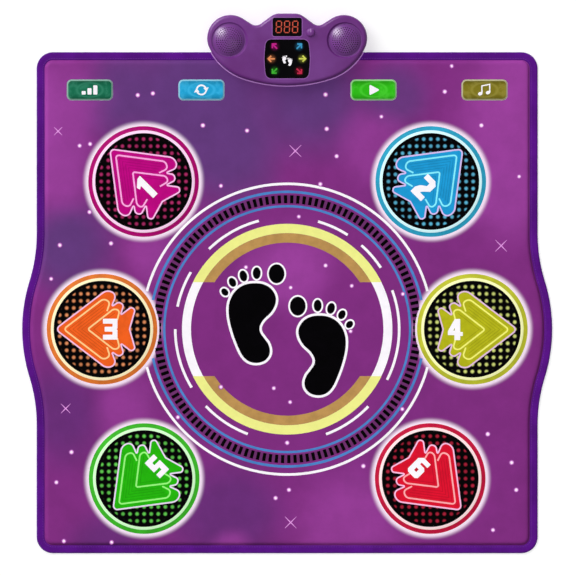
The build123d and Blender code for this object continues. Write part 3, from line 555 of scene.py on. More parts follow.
def build_tape():
    """The folded binding tape, swept round the edge with a soft roll."""
    bm = bmesh.new()
    profile = [
        (0.9, 0.2), (0.2, 0.6), (0.0, 1.6), (0.2, 2.7), (1.0, 3.3), (3.5, 3.55), (8.0, 3.62), (11.6, 3.5),
        (13.1, 3.3), (13.6, 2.9), (13.5, 2.2), (13.4, 0.5), (12.8, 0.2),
    ]
    rings = [mat_ring(inset) for inset, _ in profile]
    rows = []
    for i, (x, y) in enumerate(rings[0]):
        row = []
        for (inset, z), ring in zip(profile, rings):
            lift = 0.10 * wobble(x, y, 26, inset / 9) if 0.5 < inset < 12 and z > 1 else 0
            row.append(vert(bm, *ring[i], z + lift))
        rows.append(row)
    skin(bm, rows, caps=True)
    n = Nodes("tape")
    rib = n.noise(320, 3, 0.6)
    c = linear((84, 16, 126))
    colour = n.mix(n.patches(22, 4), tone(c, 0.82), tone(c, 1.15))
    colour = n.mix(n.fade(rib, 0.4, 0.7, 0.0, 0.25), colour, tone(c, 1.6))
    weave = n.math("ADD", n.math("MULTIPLY", n.wave(500, "DIAGONAL"), 0.6), rib)
    n.bump(weave, 0.0002, 0.6)
    material = n.finish(colour, n.fade(rib, 0.3, 0.7, 0.6, 0.8), 0.06)
    tape = make("edge_binding_tape", bm, [material], "mat", soft=50)
    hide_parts("edge_binding")


build_tape()


def spaced(line, pitch):
    """Places and directions at equal steps along a line."""
    out = []
    left = pitch / 2
    for (x0, y0), (x1, y1) in zip(line, line[1:]):
        run = hypot(x1 - x0, y1 - y0)
        while left < run:
            t = left / run
            out.append((x0 + (x1 - x0) * t, y0 + (y1 - y0) * t, atan2(y1 - y0, x1 - x0)))
            left += pitch
        left -= run
    return out


def stitch(bm, x, y, angle, length=3.1, width=0.8, height=0.45):
    """One raised stitch of thread, sunk into the binding tape at both ends."""
    ca, sa = cos(angle), sin(angle)
    rows = []
    for s, size in ((-0.5, 0.25), (-0.3, 0.85), (0.3, 0.85), (0.5, 0.25)):
        row = []
        for k in range(5):
            a = pi * k / 4
            along, across = s * length, cos(a) * width / 2 * size
            up = sin(a) * height * size - 0.1
            row.append(vert(bm, x + along * ca - across * sa, y + along * sa + across * ca, 3.5 + up))
        rows.append(row)
    skin(bm, rows, caps=True)


def build_stitches():
    bm = bmesh.new()
    for x, y, angle in spaced(mat_ring(10.9), 4.4):
        stitch(bm, x, y, angle)
    thread = Nodes("thread")
    c = linear((126, 62, 158))
    twist = thread.wave(900, "DIAGONAL")
    colour = thread.mix(twist, tone(c, 0.6), c)
    thread.bump(twist, 0.0001, 0.5)
    make("binding_stitches", bm, [thread.finish(colour, 0.6, 0.3)], "mat")


build_stitches()


def build_backing():
    """The non-slip cloth under the mat, notched for the console."""
    bm = bmesh.new()
    slab(bm, mat_ring(13.8) + notch_curve(13.8), 0.0, 1.55)
    n = Nodes("backing")
    cells = n.node("TexVoronoi", {"Vector": n.place, "Scale": 130, "Randomness": 0.15}, "Distance")
    dot = n.fade(cells, 0.25, 0.33, 1.0, 0.0)
    colour = n.mix(dot, linear((44, 40, 48)), linear((20, 18, 22)))
    n.bump(n.math("ADD", dot, n.math("MULTIPLY", n.noise(700, 3), 0.3)), 0.0004, 0.8)
    material = n.finish(colour, n.fade(dot, 0, 1, 0.85, 0.55), 0.3)
    obj = make("backing_cloth", bm, [material], "mat")
    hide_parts("base_sheet")


build_backing()


# ---- Printed art ----
white_ink = ink("white_ink", (250, 246, 252), 0.03)
black_ink = ink("black_ink", (3, 2, 4), 0.3, 0.02)
blue_ink = ink("blue_ink", (72, 128, 196))
gold_ink = ink("gold_ink", (184, 142, 82))
yellow_ink = ink("yellow_ink", (238, 239, 139), 0.03)
ART_LOW, ART_HIGH = MAT_TOP + 0.1, MAT_TOP + 1.6  # the prints' base and top before they are draped
TICKS_IN, TICKS_OUT, TICKS_CLEAR = 216.5, 230.5, 98.6
BAND_CUT = 80.8  # how far above and below the middle the inner band changes colour


def ring_point(r, angle):
    """The point at an angle in degrees on a ring round the mat's middle."""
    return (r * cos(radians(angle)), MIDDLE + r * sin(radians(angle)))


def centre_band(bm, r, width, slot, spans=((0, 360),)):
    """Parts of a ring round the mat's middle, or the whole of it."""
    for start, end in spans:
        whole = end - start >= 360
        line = arc((0, MIDDLE), r, start, end, 2.0)
        strip(bm, line[:-1] if whole else line, width, ART_LOW, ART_HIGH, slot, closed=whole)


def clear_of_pads(r):
    """Half the angle that the two side pads and their glow take out of a ring, at either side."""
    away, glow = PADS[4][0], 101.0
    share = (away**2 + r**2 - glow**2) / (2 * away * r)
    return degrees(acos(share)) if share < 1 else 0.0


def tick_reach(a):
    """The outer radius of the tick band at an angle, kept off the two side pads."""
    across = abs(sin(radians(a))) * PADS[4][0]
    if across >= TICKS_CLEAR:
        return TICKS_OUT
    return min(TICKS_OUT, abs(cos(radians(a))) * PADS[4][0] - sqrt(TICKS_CLEAR**2 - across**2))


def flat_band(bm, edges, slot, loop=False):
    """A band of print between two lines, given as pairs of points across it."""
    rows = []
    for a, b in edges:
        corners = ((a, ART_HIGH), (b, ART_HIGH), (b, ART_LOW), (a, ART_LOW))
        rows.append([vert(bm, *place, z) for place, z in corners])
    skin(bm, rows, slot, loop=loop, caps=not loop)


def cut_band(bm, r, width, slot, sides):
    """Two opposite parts of a ring between level cuts: either its sides, or its top and bottom."""
    spans = []
    for radius in (r + width / 2, r - width / 2):
        cut = degrees(asin(BAND_CUT / radius))
        spans.append((radius, -cut, 2 * cut) if sides else (radius, cut, 180 - 2 * cut))
    shares = np.linspace(0, 1, 41 if sides else 61)
    for spin in (0, 180):
        edges = [[ring_point(radius, spin + start + run * t) for radius, start, run in spans] for t in shares]
        flat_band(bm, edges, slot)


def build_centre():
    """The rings round the footprints: thin bands, a dashed ring, a two-coloured band and a belt of ticks."""
    bm = bmesh.new()
    for r, width, slot in ((250.0, 4.4, 0), (236.2, 4.4, 1), (211.4, 4.0, 1)):
        gap = clear_of_pads(r)
        centre_band(bm, r, width, slot, [(gap, 180 - gap), (180 + gap, 360 - gap)] if gap else [(0, 360)])
    dashes = [(104.7, 134.3), (149.4, 168.4), (180, 211.4), (223.4, 249.4)]
    dashes += [(57.3, 74.0), (33.3, 48.5), (-26.9, 20.3), (-69.7, -43.6)]
    centre_band(bm, 192.6, 4.4, 0, dashes)
    cut_band(bm, 173.2, 15.4, 0, True)
    cut_band(bm, 173.2, 16.0, 3, False)
    cut_band(bm, 156.9, 16.2, 2, False)
    for k in range(132):
        a = 360.0 * k / 132
        width = tick_reach(a + 0.7) - TICKS_IN
        if width > 1:
            centre_band(bm, TICKS_IN + width / 2, width, 4, [(a, a + 1.45)])
    turns = [360 * k / 264 for k in range(264)]
    flat_band(bm, [(ring_point(TICKS_IN, a), ring_point(tick_reach(a), a)) for a in turns], 5, loop=True)
    long_edges = [e for e in bm.edges if e.calc_length() > 9 * MM]
    bmesh.ops.subdivide_edges(bm, edges=long_edges, cuts=1, use_grid_fill=True)
    ticks = {v for f in bm.faces if f.material_index == 4 for v in f.verts}
    drape(bm, cover_height, lambda z: 0.12 if z > MAT_TOP + 1 else -0.35)
    for v in ticks:
        v.co.z += 0.08 * MM
    tick_ground = ink("tick_ground", (106, 46, 104))
    mats = [white_ink, blue_ink, gold_ink, yellow_ink, black_ink, tick_ground]
    return make("centre_rings_print", bm, mats, "mat")


centre_rings = build_centre()
SOLE = [
    (-17.2, -26.2), (-19.4, -39.1), (-27.1, -52.0), (-38.6, -62.8), (-45.0, -73.5), (-44.7, -82.6),
    (-38.7, -92.0), (-31.4, -101.8), (-27.6, -114.0), (-29.6, -125.4), (-38.4, -135.0), (-52.9, -138.8),
    (-67.4, -135.6), (-78.7, -125.1), (-87.3, -107.9), (-96.0, -84.3), (-101.8, -60.5), (-102.6, -38.0),
    (-96.6, -19.8), (-86.6, -7.6), (-74.0, -0.2), (-58.6, 2.6), (-42.6, 1.4), (-29.4, -4.7), (-20.9, -14.6),
]
TOES = [  # centre, radii, tilt
    ((-18.2, 16.8), (15.0, 17.8), 0), ((-52.4, 17.8), (8.2, 11.6), 0), ((-75.4, 13.0), (7.9, 11.0), 14),
    ((-94.1, 2.1), (7.4, 9.6), 26), ((-107.3, -14.7), (6.9, 8.4), 42),
]


def oval(centre, radii, tilt, n):
    ring = [(radii[0] * cos(2 * pi * k / n), radii[1] * sin(2 * pi * k / n)) for k in range(n)]
    return moved(ring, centre, tilt)


def foot(mirror, per, toe_points):
    """The outlines of one footprint: the sole, and then the toes."""
    toes = [oval((mirror * x, y), radii, mirror * tilt, toe_points) for (x, y), radii, tilt in TOES]
    return [[(mirror * x, y) for x, y in smooth(SOLE, per)], *toes]


def foot_rise(z):
    """How far a footprint's base, black print and pale rim stand above the cover."""
    return -0.4 if z < MAT_TOP + 1 else 0.10 if z < ART_HIGH else 0.22


def build_feet():
    """The two footprints, black with a pale rim, one a mirror image of the other and set lower."""
    bm = bmesh.new()
    for mirror, drop in ((1, 0.0), (-1, 55.7)):
        for k, shape in enumerate(foot(mirror, 3, 28)):
            outline = moved(shape, (0, -drop))
            slab(bm, outline, ART_LOW, MAT_TOP + 1.5, 1)
            strip(bm, outline, 2.9 if k else 4.2, ART_LOW, MAT_TOP + 1.7, 0)
    bm.normal_update()
    faces = [f for f in bm.faces if len(f.verts) > 4]
    bmesh.ops.triangulate(bm, faces=faces, ngon_method="EAR_CLIP")
    for _ in range(3):
        long_edges = [e for e in bm.edges if e.calc_length() > 16 * MM]
        bmesh.ops.subdivide_edges(bm, edges=long_edges, cuts=1)
        bmesh.ops.triangulate(bm, faces=bm.faces)
    drape(bm, cover_height, foot_rise)
    return make("footprints_print", bm, [white_ink, black_ink], "mat")


feet = build_feet()


STARS = [
    (-257, 324), (-231, 327), (-145, 272), (-69, 263), (-357, 237), (-339, 240), (-114, 168),
    (-340, 123), (-391, 66), (-303, 69), (-406, 8), (-71, 28), (283, 374), (66, 325),
    (271, 330), (162, 287), (68, 266), (334, 272), (85, 219), (57, 171), (399, 184),
    (20, 115), (66, 31), (111, -4), (6, -7), (-23, -180), (5, -204), (-114, -178),
    (-188, -230), (-371, -290), (-397, -342), (-20, -369), (3, -355), (0, -274), (-384, -443),
    (-302, -445), (131, -314), (345, -259), (386, -308), (394, -355), (354, -424), (198, -216),
    (109, -82), (199, -18),
]
SPARKLES = [(-394, 262, 10.0), (14, 228, 14.5), (368, 65, 14.0), (-381, -215, 11.5), (6, -411, 14.0)]


def build_stars():
    """Round stars in a soft glow, and a few thin crossed sparkles."""
    rng = random.Random(11)
    bm = bmesh.new()
    for x, y in STARS:
        r = rng.uniform(1.7, 2.3)
        for grow, lift, slot in ((2.3, 0.0, 2), (1.2, 0.05, 1), (0.0, 0.1, 0)):
            slab(bm, oval((x, y), (r + grow, r + grow), 0, 16), ART_LOW, ART_HIGH + lift, slot)
    for x, y, size in SPARKLES:
        for spin in (45, 135):
            ray = [(size, 0.3), (0, 0.95), (-size, 0.3), (-size, -0.3), (0, -0.95), (size, -0.3)]
            slab(bm, moved(ray, (x, y), spin), ART_LOW, MAT_TOP + (1.7 if spin == 45 else 1.75), 1)
        slab(bm, oval((x, y), (1.3, 1.3), 0, 12), ART_LOW, MAT_TOP + 1.8, 1)
    drape(bm, cover_height, lambda z: 0.22 + (z - ART_HIGH) * 0.3 if z > ART_HIGH - 0.5 else -0.35)
    inks = [ink("star_core", (255, 236, 252), 0.02), ink("star_glow", (228, 152, 228), 0.04)]
    inks.append(ink("star_haze", (160, 86, 166), 0.04))
    return make("stars_print", bm, inks, "mat")


stars = build_stars()


# ---- Step pads ----
PAD_COLOURS = {  # arrow, chevron lines, arrow outline, outer ring, inner ring, dots
    1: ((186, 0, 126), (255, 168, 228), (250, 190, 236), (168, 4, 106), (255, 216, 244), (158, 40, 92)),
    2: ((26, 150, 208), (134, 238, 252), (214, 190, 240), (44, 156, 190), (214, 250, 255), (84, 166, 196)),
    3: ((236, 94, 28), (255, 206, 140), (240, 192, 226), (218, 116, 46), (255, 240, 196), (206, 128, 84)),
    4: ((178, 178, 22), (242, 242, 116), (226, 190, 222), (184, 186, 48), (248, 250, 186), (192, 200, 112)),
    5: ((34, 178, 6), (152, 246, 124), (232, 216, 240), (60, 176, 40), (212, 255, 204), (92, 190, 76)),
    6: ((216, 12, 44), (255, 168, 172), (246, 186, 222), (190, 20, 60), (255, 224, 226), (156, 30, 52)),
}
DISC, RIM = 83.2, 88.1
RING_END = 95.2
PAD_RINGS = (12, 26, 40, 54, 68, 78, DISC, 85.6, RIM, 91.3, RING_END, 96.1, PAD_R)


def pad_height(r):
    """The crowned pad's surface: level in the middle, easing down to its welded rim."""
    t = max(0.0, (r - PAD_FLAT_R) / (PAD_R - PAD_FLAT_R))
    return MAT_TOP + PAD_CROWN * (1 - t * t * (3 - 2 * t))


ARROW_HALF = [
    (79.0, 0.0), (-9.5, 67.6), (-26.4, 60.5), (-17.7, 38.5), (-30.0, 46.8), (-38.8, 42.0), (-32.9, 23.7),
    (-51.5, 37.8), (-58.4, 33.6), (-48.7, 0.0),
]
ARROW_CORNERS = [6.5, 15.0, 9.5, 1.2, 6.5, 6.0, 1.2, 5.0, 5.0, 3.0]
CHEVRONS = [
    ([(-10.0, 31.0), (-15.2, 46.5), (-4.0, 52.6), (64.7, 0.0)], [0, 6.5, 11.0, 4.5]),
    ([(-27.5, 15.5), (-31.8, 32.0), (-22.0, 35.2), (23.2, 0.0)], [0, 5.5, 9.0, 3.0]),
]
DIGITS = {  # turn, distance behind the pad's centre, outline, hole
    1: (45, 12.0, [(4, 22), (-3, 21), (-14.5, 10.5), (-12.5, 5.0), (-7, 8.5), (-7, -21.5), (4, -21.5)], []),
    2: (-45, 14.7, [
        (-12.5, 11), (-12.5, 21), (6, 21), (12.5, 15), (12.5, 2), (3, -7), (0, -11), (12.5, -11), (12.5, -21),
        (-12.5, -21), (-12.5, -10), (-8, -2), (1.5, 5), (1.5, 11),
    ], []),
    3: (0, 16.0, [
        (-13, 18), (12, 18), (12, 1.5), (10.5, 0), (12, -1.5), (12, -18), (-13, -18), (-13, -9.5),
        (3.5, -9.5), (3.5, -4.2), (-10, -4.2), (-10, 4.2), (3.5, 4.2), (3.5, 9.5), (-13, 9.5),
    ], []),
    4: (0, 28.0, [
        (-1, 18.2), (8.5, 18.2), (8.5, -4.2), (13, -4.2), (13, -11), (8.5, -11), (8.5, -18.2),
        (-1.5, -18.2), (-1.5, -9.5), (-12.8, -9.5), (-12.8, -3),
    ], [(-3.4, -1.6), (-0.8, -1.6), (-0.8, 3.4)]),
    5: (45, 27.6, [
        (-11, 18.5), (11, 18.5), (11, 9.5), (-1.5, 9.5), (-1.5, 4.2), (11.5, 4.2), (11.5, -18.5),
        (-11, -18.5), (-11, -9.5), (2.0, -9.5), (2.0, -4.2), (-11, -4.2),
    ], []),
    6: (-45, 25.0, [
        (-5, 18), (11.5, 18), (11.5, 9.6), (-2.2, 9.6), (-2.2, 5.6), (8, 5.6), (12, 1.5), (12, -14),
        (8, -18), (-8, -18), (-12, -14), (-12, 11),
    ], box(0, -5.6, 2.6, 3.0)),
}
# Each arrow print sits slightly off its pad's centre.
PRINT_SHIFTS = {1: (-2.2, 0), 2: (-0.8, 0), 3: (-1.4, 0), 4: (-1.4, -0.7), 5: (2.2, 1.6), 6: (-2.2, 1.6)}


def build_pad(number):
    """A pad's crowned skin with its disc and rings, riding on the pad's own joint."""
    name = f"pad_{number}"
    x, y, _ = PADS[number]
    ring_rgb, inner_rgb, dots = PAD_COLOURS[number][3:]
    bm = bmesh.new()
    crown = vert(bm, x, y, pad_height(0))
    rows = [circle_row(bm, (x, y), [r] * 96, pad_height(r)) for r in PAD_RINGS]
    for k in range(96):
        bm.faces.new((crown, rows[0][k], rows[0][(k + 1) % 96]))
    middles = [(a + b) / 2 for a, b in zip(PAD_RINGS, PAD_RINGS[1:])]
    skin(bm, rows, [sum(r > edge for edge in (DISC, RIM, RING_END)) for r in middles])
    mats = [dotted_material(f"{name}_disc", (x, y), dots)]
    mats.append(ink(f"{name}_inner_ring", inner_rgb, 0.02))
    mats += [ink(f"{name}_ring", ring_rgb, 0.1), cover_print]
    surface = make(f"{name}_cover", bm, mats, name)
    soft_cover(surface, f"step_pad_{number}")


def print_arrow(number):
    """A pad's arrow: a bright shape with an outline, fine shade lines, two chevrons and its number."""
    name = f"pad_{number}"
    x, y, facing = PADS[number]
    centre = (x + PRINT_SHIFTS[number][0], y + PRINT_SHIFTS[number][1])
    fill, pale, rim_line = PAD_COLOURS[number][:3]
    bm = bmesh.new()
    base = MAT_TOP + PAD_CROWN
    corners = ARROW_CORNERS + ARROW_CORNERS[1:-1][::-1]
    silhouette = moved(rounded(mirrored(ARROW_HALF)[:-1], corners, step=10.0), centre, facing)
    slab(bm, silhouette, base - 0.2, base + 0.10, 0)
    strip(bm, silhouette, 2.6, base - 0.2, base + 0.18, 2)
    for tip in (56, 48.5, 41, 33.5, 13):
        reach = tip + (5 if tip > 20 else 24)
        shade = mirrored([(tip - reach, 0.765 * reach), (tip, 0)])
        strip(bm, moved(shade, centre, facing), 1.0, base - 0.1, base + 0.13, 4, closed=False)
    for half, radii in CHEVRONS:
        line = rounded(mirrored(half), radii + radii[:-1][::-1], closed=False, step=10.0)
        strip(bm, moved(line, centre, facing), 2.8, base - 0.1, base + 0.20, 1, closed=False)
    turn, back, outline, hole = DIGITS[number]
    place = moved([(-back, 0)], centre, facing)[0]
    slab(bm, moved(rounded(outline, 0.9), place, turn), base - 0.1, base + 0.25, 3)
    if hole:
        slab(bm, moved(hole, place, turn), base - 0.1, base + 0.28, 4)
    mats = [ink(f"{name}_arrow", fill, 0.08), ink(f"{name}_lines", pale, 0.03)]
    mats += [ink(f"{name}_outline", rim_line, 0.03), white_ink]
    mats.append(ink(f"{name}_shade", [v * 0.86 for v in fill], 0.05))
    make(f"{name}_arrow_print", bm, mats, name)


for number in PADS:
    build_pad(number)
    print_arrow(number)


# ---- Control buttons ----
BUTTON_COLOURS = {
    "levels": (18, 104, 74),
    "mode": (28, 156, 204),
    "start": (44, 182, 18),
    "music": (122, 112, 26),
}
BUTTON_STEPS = [  # each row's distance in from the outline, and its rise
    (0.0, 0.0), (0.7, 0.55), (1.6, 1.05), (2.4, 1.25), (3.8, 1.38), (4.6, 1.4), (9.0, 1.4),
]


def button_symbol(name, x):
    """Plain pictograms: rising bars, a cycle of two arrows, a play triangle and a note."""
    y = BUTTON_Y
    plates, lines = [], []
    if name == "levels":
        for k, h in enumerate((6, 11, 16)):
            plates.append(rounded(box(x - 10.5 + k * 10, y - 8 + h / 2, 3.5, h / 2), 1.2))
    elif name == "start":
        plates.append(rounded([(x - 7, y - 9.5), (x + 11, y), (x - 7, y + 9.5)], 1.6))
    elif name == "mode":
        for spin in (0, 180):
            lines.append((moved(arc((0, 0), 8, 25, 165, 12), (x, y), spin), 2.8))
            plates.append(moved([(8.6, -3.4), (12.6, 4.6), (3.4, 3.4)], (x, y), spin))
    else:
        for nx, ny in ((x - 7.5, y - 6.5), (x + 6.0, y - 4.5)):
            plates.append(oval((nx, ny), (3.9, 2.9), 20, 18))
        lines.append(([(x - 4.6, y - 6), (x - 4.6, y + 7), (x + 8.9, y + 9.5), (x + 8.9, y - 4)], 2.1))
    return plates, lines


def button_fill(name, x):
    """A button's printed ground: darker above and below, with a pale oval ring and faint swirls."""
    rgb = BUTTON_COLOURS[name]
    c = linear(rgb)
    n = Nodes(f"{name}_fill")
    far = n.math("ABSOLUTE", n.math("SUBTRACT", n.split(1), BUTTON_Y * MM))
    colour = n.mix(n.fade(far, 0.004, 0.017), tone(c, 1.06), tone(c, 0.62))
    local = n.vector("MULTIPLY", n.vector("SUBTRACT", n.flat(), (x * MM, BUTTON_Y * MM, 0)), (0.55, 1, 0))
    off_ring = n.math("ABSOLUTE", n.math("SUBTRACT", n.vector("LENGTH", local), 0.0122))
    swirl = n.fade(n.noise(75, 3, 0.6), 0.46, 0.66, 0.0, 0.28)
    pale = n.math("MAXIMUM", n.fade(off_ring, 0.0, 0.0026, 0.34, 0.0), swirl)
    return vinyl_surface(n, n.mix(pale, colour, linear([min(v + 52, 255) for v in rgb])))


def build_button(name):
    """A button's padded skin with a pale rim line, and its white pictogram."""
    x = BUTTONS[name]
    bm = bmesh.new()
    rows = []
    for inset, rise in BUTTON_STEPS:
        rows.append([vert(bm, px, py, MAT_TOP + rise) for px, py in button_outline(x, -inset, 12.0)])
    skin(bm, rows, [1, 1, 1, 0, 0, 0])
    bm.faces.new(rows[-1])
    line_ink = ink(f"{name}_line", [min(v * 0.45 + 120, 255) for v in BUTTON_COLOURS[name]], 0.05)
    surface = make(f"{name}_button_cover", bm, [button_fill(name, x), line_ink], name)
    soft_cover(surface, f"{name}_button")
    bm = bmesh.new()
    plates, lines = button_symbol(name, x)
    top = MAT_TOP + BUTTON_CROWN
    for plate in plates:
        slab(bm, plate, top - 0.2, top + 0.14)
    for line, width in lines:
        strip(bm, line, width, top - 0.2, top + 0.12, closed=False)
    make(f"{name}_symbol_print", bm, [white_ink], name)


for key in BUTTONS:
    build_button(key)


# ---- Console ----
def dress(material, *names):
    """Puts a material on CAD nodes that show as they are."""
    for name in names:
        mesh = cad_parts[name].data
        mesh.materials.clear()
        mesh.materials.append(material)
        mesh.polygons.foreach_set("material_index", [0] * len(mesh.polygons))


purple = moulded("console_purple", (107, 46, 128), 0.38, specular=0.4, patch=(98, 31, 115))
dress(purple, "upper_shell", "lower_shell", "clamp_bar", "battery_door")
dress(moulded("grille_purple", (107, 46, 128), 0.32, specular=0.7), "left_grille", "right_grille")
dress(moulded("smoked_lens", (3, 2, 4), 0.16, 0.00001, 0.1, 0.04), "display_window")
dress(moulded("switch_black", (18, 18, 20), 0.45), "volume_switch")
dress(moulded("light_box", (232, 230, 224), 0.5), "light_shroud", "display_module")
dress(moulded("led_lens", (240, 240, 228), 0.2), "arrow_leds")
dress(moulded("board_green", (16, 92, 48), 0.3), "main_board")
dress(brushed("speaker_steel", (40, 40, 42), 0.45, 0.4), "left_speaker_frame", "right_speaker_frame")
dress(brushed("ferrite", (34, 34, 36), 0.6, 0.2), "left_speaker_magnet", "right_speaker_magnet")
dress(ink("cone_paper", (16, 16, 17), 0.25), "left_speaker_cone", "right_speaker_cone")
dress(brushed("cell_jacket", (42, 42, 46), 0.35, 0.5), "battery_cells")
dress(brushed("nickel", (196, 194, 190), 0.25), "battery_contacts", "switch_shaft")
dress(brushed("zinc", (168, 168, 172), 0.3), "shell_screws", "small_screws")
dress(moulded("foot_rubber", (22, 22, 23), 0.75, 0.0001), "rubber_feet")
foam_white = ink("foam_white", (226, 226, 220), 0.05)
film_clear = moulded("film", (196, 200, 206), 0.25)
plungers = [f"{k}_button_plunger" for k in BUTTONS]
dress(foam_white, "spacer_foam", "top_foam", *plungers, *[f"pad_foam_{k}" for k in PADS])
dress(film_clear, "lower_film", "upper_film", "ribbon_tail", *[f"pad_contact_{k}" for k in PADS])

ARROW_SHAFT = [(-5.9, 0), (4.4, 0)]
ARROW_HEAD = [(0.4, 5.2), (5.6, 0), (0.4, -5.2)]
LIGHTS = [  # place, direction, colour
    (-21.5, 407.4, 135, (190, 28, 132)), (20.5, 407.4, 45, (56, 150, 196)),
    (-27.0, 386.0, 180, (230, 142, 88)), (26.0, 386.2, 0, (204, 210, 84)),
    (-21.5, 365.4, 225, (60, 176, 46)), (20.5, 365.0, 315, (190, 34, 68)),
]


def lit_panel():
    """The smoked arrow panel: near black, with a dim coloured glow round each lamp."""
    n = Nodes("lit_panel")
    colour = linear((3, 2, 4))
    for x, y, _, rgb in LIGHTS:
        glow = n.math("POWER", n.fade(n.near(x, y), 0.002, 0.0115, 0.45, 0.0), 2)
        colour = n.mix(glow, colour, linear(rgb))
    n.bump(n.noise(1500, 2, 0.6), 0.00001, 0.5)
    return n.finish(colour, n.patches(50, 3, 0.11, 0.23), 0.04)


dress(lit_panel(), "arrow_panel")


def build_panel_print():
    """The arrow panel's six small arrows and its pair of footprints."""
    bm = bmesh.new()
    inks = []
    for k, (x, y, angle, rgb) in enumerate(LIGHTS):
        for line, proud in ((ARROW_SHAFT, 0.06), (ARROW_HEAD, 0.09)):
            line = moved(line, (x, y), angle)
            strip(bm, line, 2.6, PANEL_TOP - 0.2, PANEL_TOP + proud, k, closed=False)
        inks.append(ink(f"light_{k + 1}", rgb, 0.08, 0.1))
    for mirror, drop in ((1, 0.0), (-1, 4.0)):
        for shape in foot(mirror, 2, 12):
            slab(bm, moved(shape, (0, 389.0 - drop), 0, 0.08), PANEL_TOP - 0.2, PANEL_TOP + 0.08, 6)
    make("panel_arrows", bm, [*inks, white_ink], "mat")


build_panel_print()


def build_digits():
    """Three seven-segment digits, all segments lit, leaning slightly forward."""
    bm = bmesh.new()
    w, h, t, gap = 4.4, 9.8, 1.7, 0.7  # half the width, a segment's height, its thickness, its ends' gap
    for cx in (-14.0, 0.0, 14.0):
        ends = [((gap - w, y), (w - gap, y)) for y in (-h, 0, h)]
        ends += [((x, y + gap), (x, y + h - gap)) for x in (-w, w) for y in (-h, 0)]
        for a, b in ends:
            a, b = Vector(a), Vector(b)
            d = (b - a).normalized() * t / 2
            side = Vector((-d.y, d.x))
            hexagon = [a, a + d + side, b - d + side, b, b - d - side, a + d - side]
            line = [(cx - 0.3 + p.x + p.y * 0.04, WINDOW_Y + 0.3 + p.y) for p in hexagon]
            slab(bm, line, WINDOW_TOP - 0.2, WINDOW_TOP + 0.06)
    red = ink("display_red", (202, 84, 64), 0.1, 0.1)
    make("display_digits", bm, [red], "mat")


build_digits()


def build_knob():
    """The volume knob: a ribbed skirt, a domed cap and a pointer rib."""
    bm = bmesh.new()
    levels = [  # radius and height
        (6.6, 40.3), (7.9, 40.3), (8.0, 40.8), (8.0, 42.4), (7.5, 44.6), (7.1, 46.2), (6.5, 47.4),
        (5.2, 48.4), (3.0, 48.95), (1.0, 49.1),
    ]
    rows = []
    for j, (r, z) in enumerate(levels):
        ribbed = 2 <= j <= 5
        radii = [r - 0.32 if ribbed and k % 4 in (0, 1) else r for k in range(72)]
        rows.append(circle_row(bm, KNOB, radii, z))
    skin(bm, rows, caps=True)
    slab(bm, moved(rounded(box(0, 3.5, 0.9, 3.1), 0.8), KNOB), 46.4, 49.2, 1)
    mats = [moulded("knob_purple", (114, 52, 134), 0.36, specular=0.3), ink("pointer", (176, 132, 190))]
    knob = make("volume_knob_cap", bm, mats, "volume", 35)
    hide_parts("volume_knob")


build_knob()


def edge_height(x, y):
    """The height of the mat's upper surface near its rear edge."""
    inset = REAR - y
    if inset > 22.5:
        return cover_height(x, y)
    if inset < 13.6:
        return 3.62
    insets, heights = zip(*SHOULDER)
    return float(np.interp(inset, insets, heights))


def console_front(grow):
    """The console's front edge moved out by grow, between its two meetings with the mat's rear edge."""
    middle, side, bend = 240.5 + grow, 99.4 + grow, radians(17.93)
    line = [(middle * sin(bend * k / 24), 581.2 - middle * cos(bend * k / 24)) for k in range(25)]
    turns = [radians(a / 2) for a in range(38, 122)]
    line += [(43.6 + side * sin(a), 447.0 - side * cos(a)) for a in turns]
    line = [(x, y) for x, y in line if y < REAR - 0.5]
    return [(-x, y) for x, y in line[:0:-1]] + line


def build_console_line():
    """A pale strip on the mat where the console meets the cover, carried across the binding: a painted
    highlight for the light along the console's lower rim.
    """
    bm = bmesh.new()
    strip(bm, console_front(1.2), 1.7, 1.0, 2.0, closed=False)
    drape(bm, edge_height, lambda z: 0.25 if z > 1.5 else -0.4)
    # painted highlight: this pale ink strip on the mat stands in for the light caught by the console's lower
    # rim
    make("console_rim_highlight_print", bm, [ink("rim_highlight_ink", (188, 134, 206), 0.05)], "mat")


build_console_line()


def crown_height(x, y):
    """The height of the console's gently crowned top."""
    return 40.0 - (x**2 + (y - 405.0) ** 2) / 6000.0


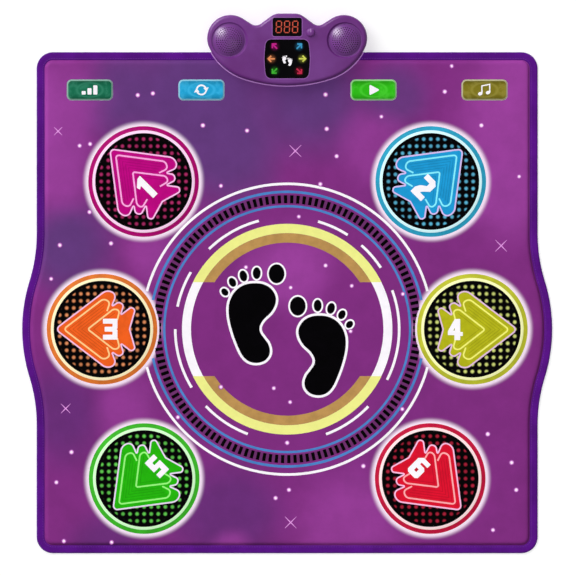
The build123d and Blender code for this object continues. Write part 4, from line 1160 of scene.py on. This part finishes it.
def build_beads():
    """The fine raised beads round the display window and the arrow panel are real relief; their paler purple
    is a painted highlight along these bezels.
    """
    bm = bmesh.new()
    gap = 0.95
    window = rounded(box(0, WINDOW_Y, 25 + gap, 15.8 + gap), 3.6 + gap)
    x, side, y = 36 + gap, 39.4 + gap, 33.3 + gap
    barrel = [(-x, -y), (x, -y), (side, 0), (x, y), (-x, y), (-side, 0)]
    panel = moved(rounded(barrel, [10 + gap, 10 + gap, 120] * 2), (0, PANEL_Y))
    for outline in (window, panel):
        strip(bm, outline, 1.1, 1.0, 2.0)
    drape(bm, crown_height, lambda z: 0.32 if z > 1.5 else -0.4)
    # painted highlight: the beads are moulded paler than the console plastic to stand for the light along the
    # bezels
    bead_highlight_purple = moulded("bead_highlight_purple", (132, 78, 152), 0.4)
    make("console_beads", bm, [bead_highlight_purple], "mat", 60)


build_beads()


# ---- Floor, light and camera ----
floor_mesh = bpy.data.meshes.new("floor")
floor_mesh.from_pydata([(x, y, 0) for x, y in box(0, 0, 200, 200)], [], [(0, 1, 2, 3)])
floor = add("floor", floor_mesh)
floor.location.z = -0.0005
paint = {"Emission_Color": (1, 1, 1, 1), "Emission_Strength": 0.12}
floor_mesh.materials.append(Nodes("floor_white").finish((0.93, 0.93, 0.93, 1), 0.9, 0.1, **paint))

scene = bpy.context.scene
scene.view_settings.view_transform = "Standard"
world = bpy.data.worlds.new("studio")
scene.world = world
world.use_nodes = True
background = world.node_tree.nodes["Background"].inputs
background["Color"].default_value = (1.0, 1.0, 1.0, 1)
background["Strength"].default_value = 0.28


def light(name, kind, place, energy, size, shadow=True):
    """A lamp aimed at the middle of the mat; a sun's size is its angle, an area's its width in metres."""
    data = bpy.data.lights.new(name, kind)
    data.energy = energy
    data.use_shadow = shadow
    if kind == "SUN":
        data.angle = radians(size)
    else:
        data.size = size
    obj = add(name, data)
    obj.location = place
    obj.rotation_euler = (-Vector(place)).to_track_quat("-Z", "Y").to_euler()


light("key", "SUN", (-2.1, 2.1, 2.8), 1.1, 45)
light("form", "SUN", (-2.35, 2.35, 2.3), 2.3, 25, shadow=False)
light("fill", "AREA", (0.6, -0.4, 3.2), 9, 2.4)

camera = add("camera", bpy.data.cameras.new("camera"))
camera.data.lens = 800
camera.data.sensor_width = 36
camera.location = (0.0014, -0.0077, 22.026)
scene.camera = camera
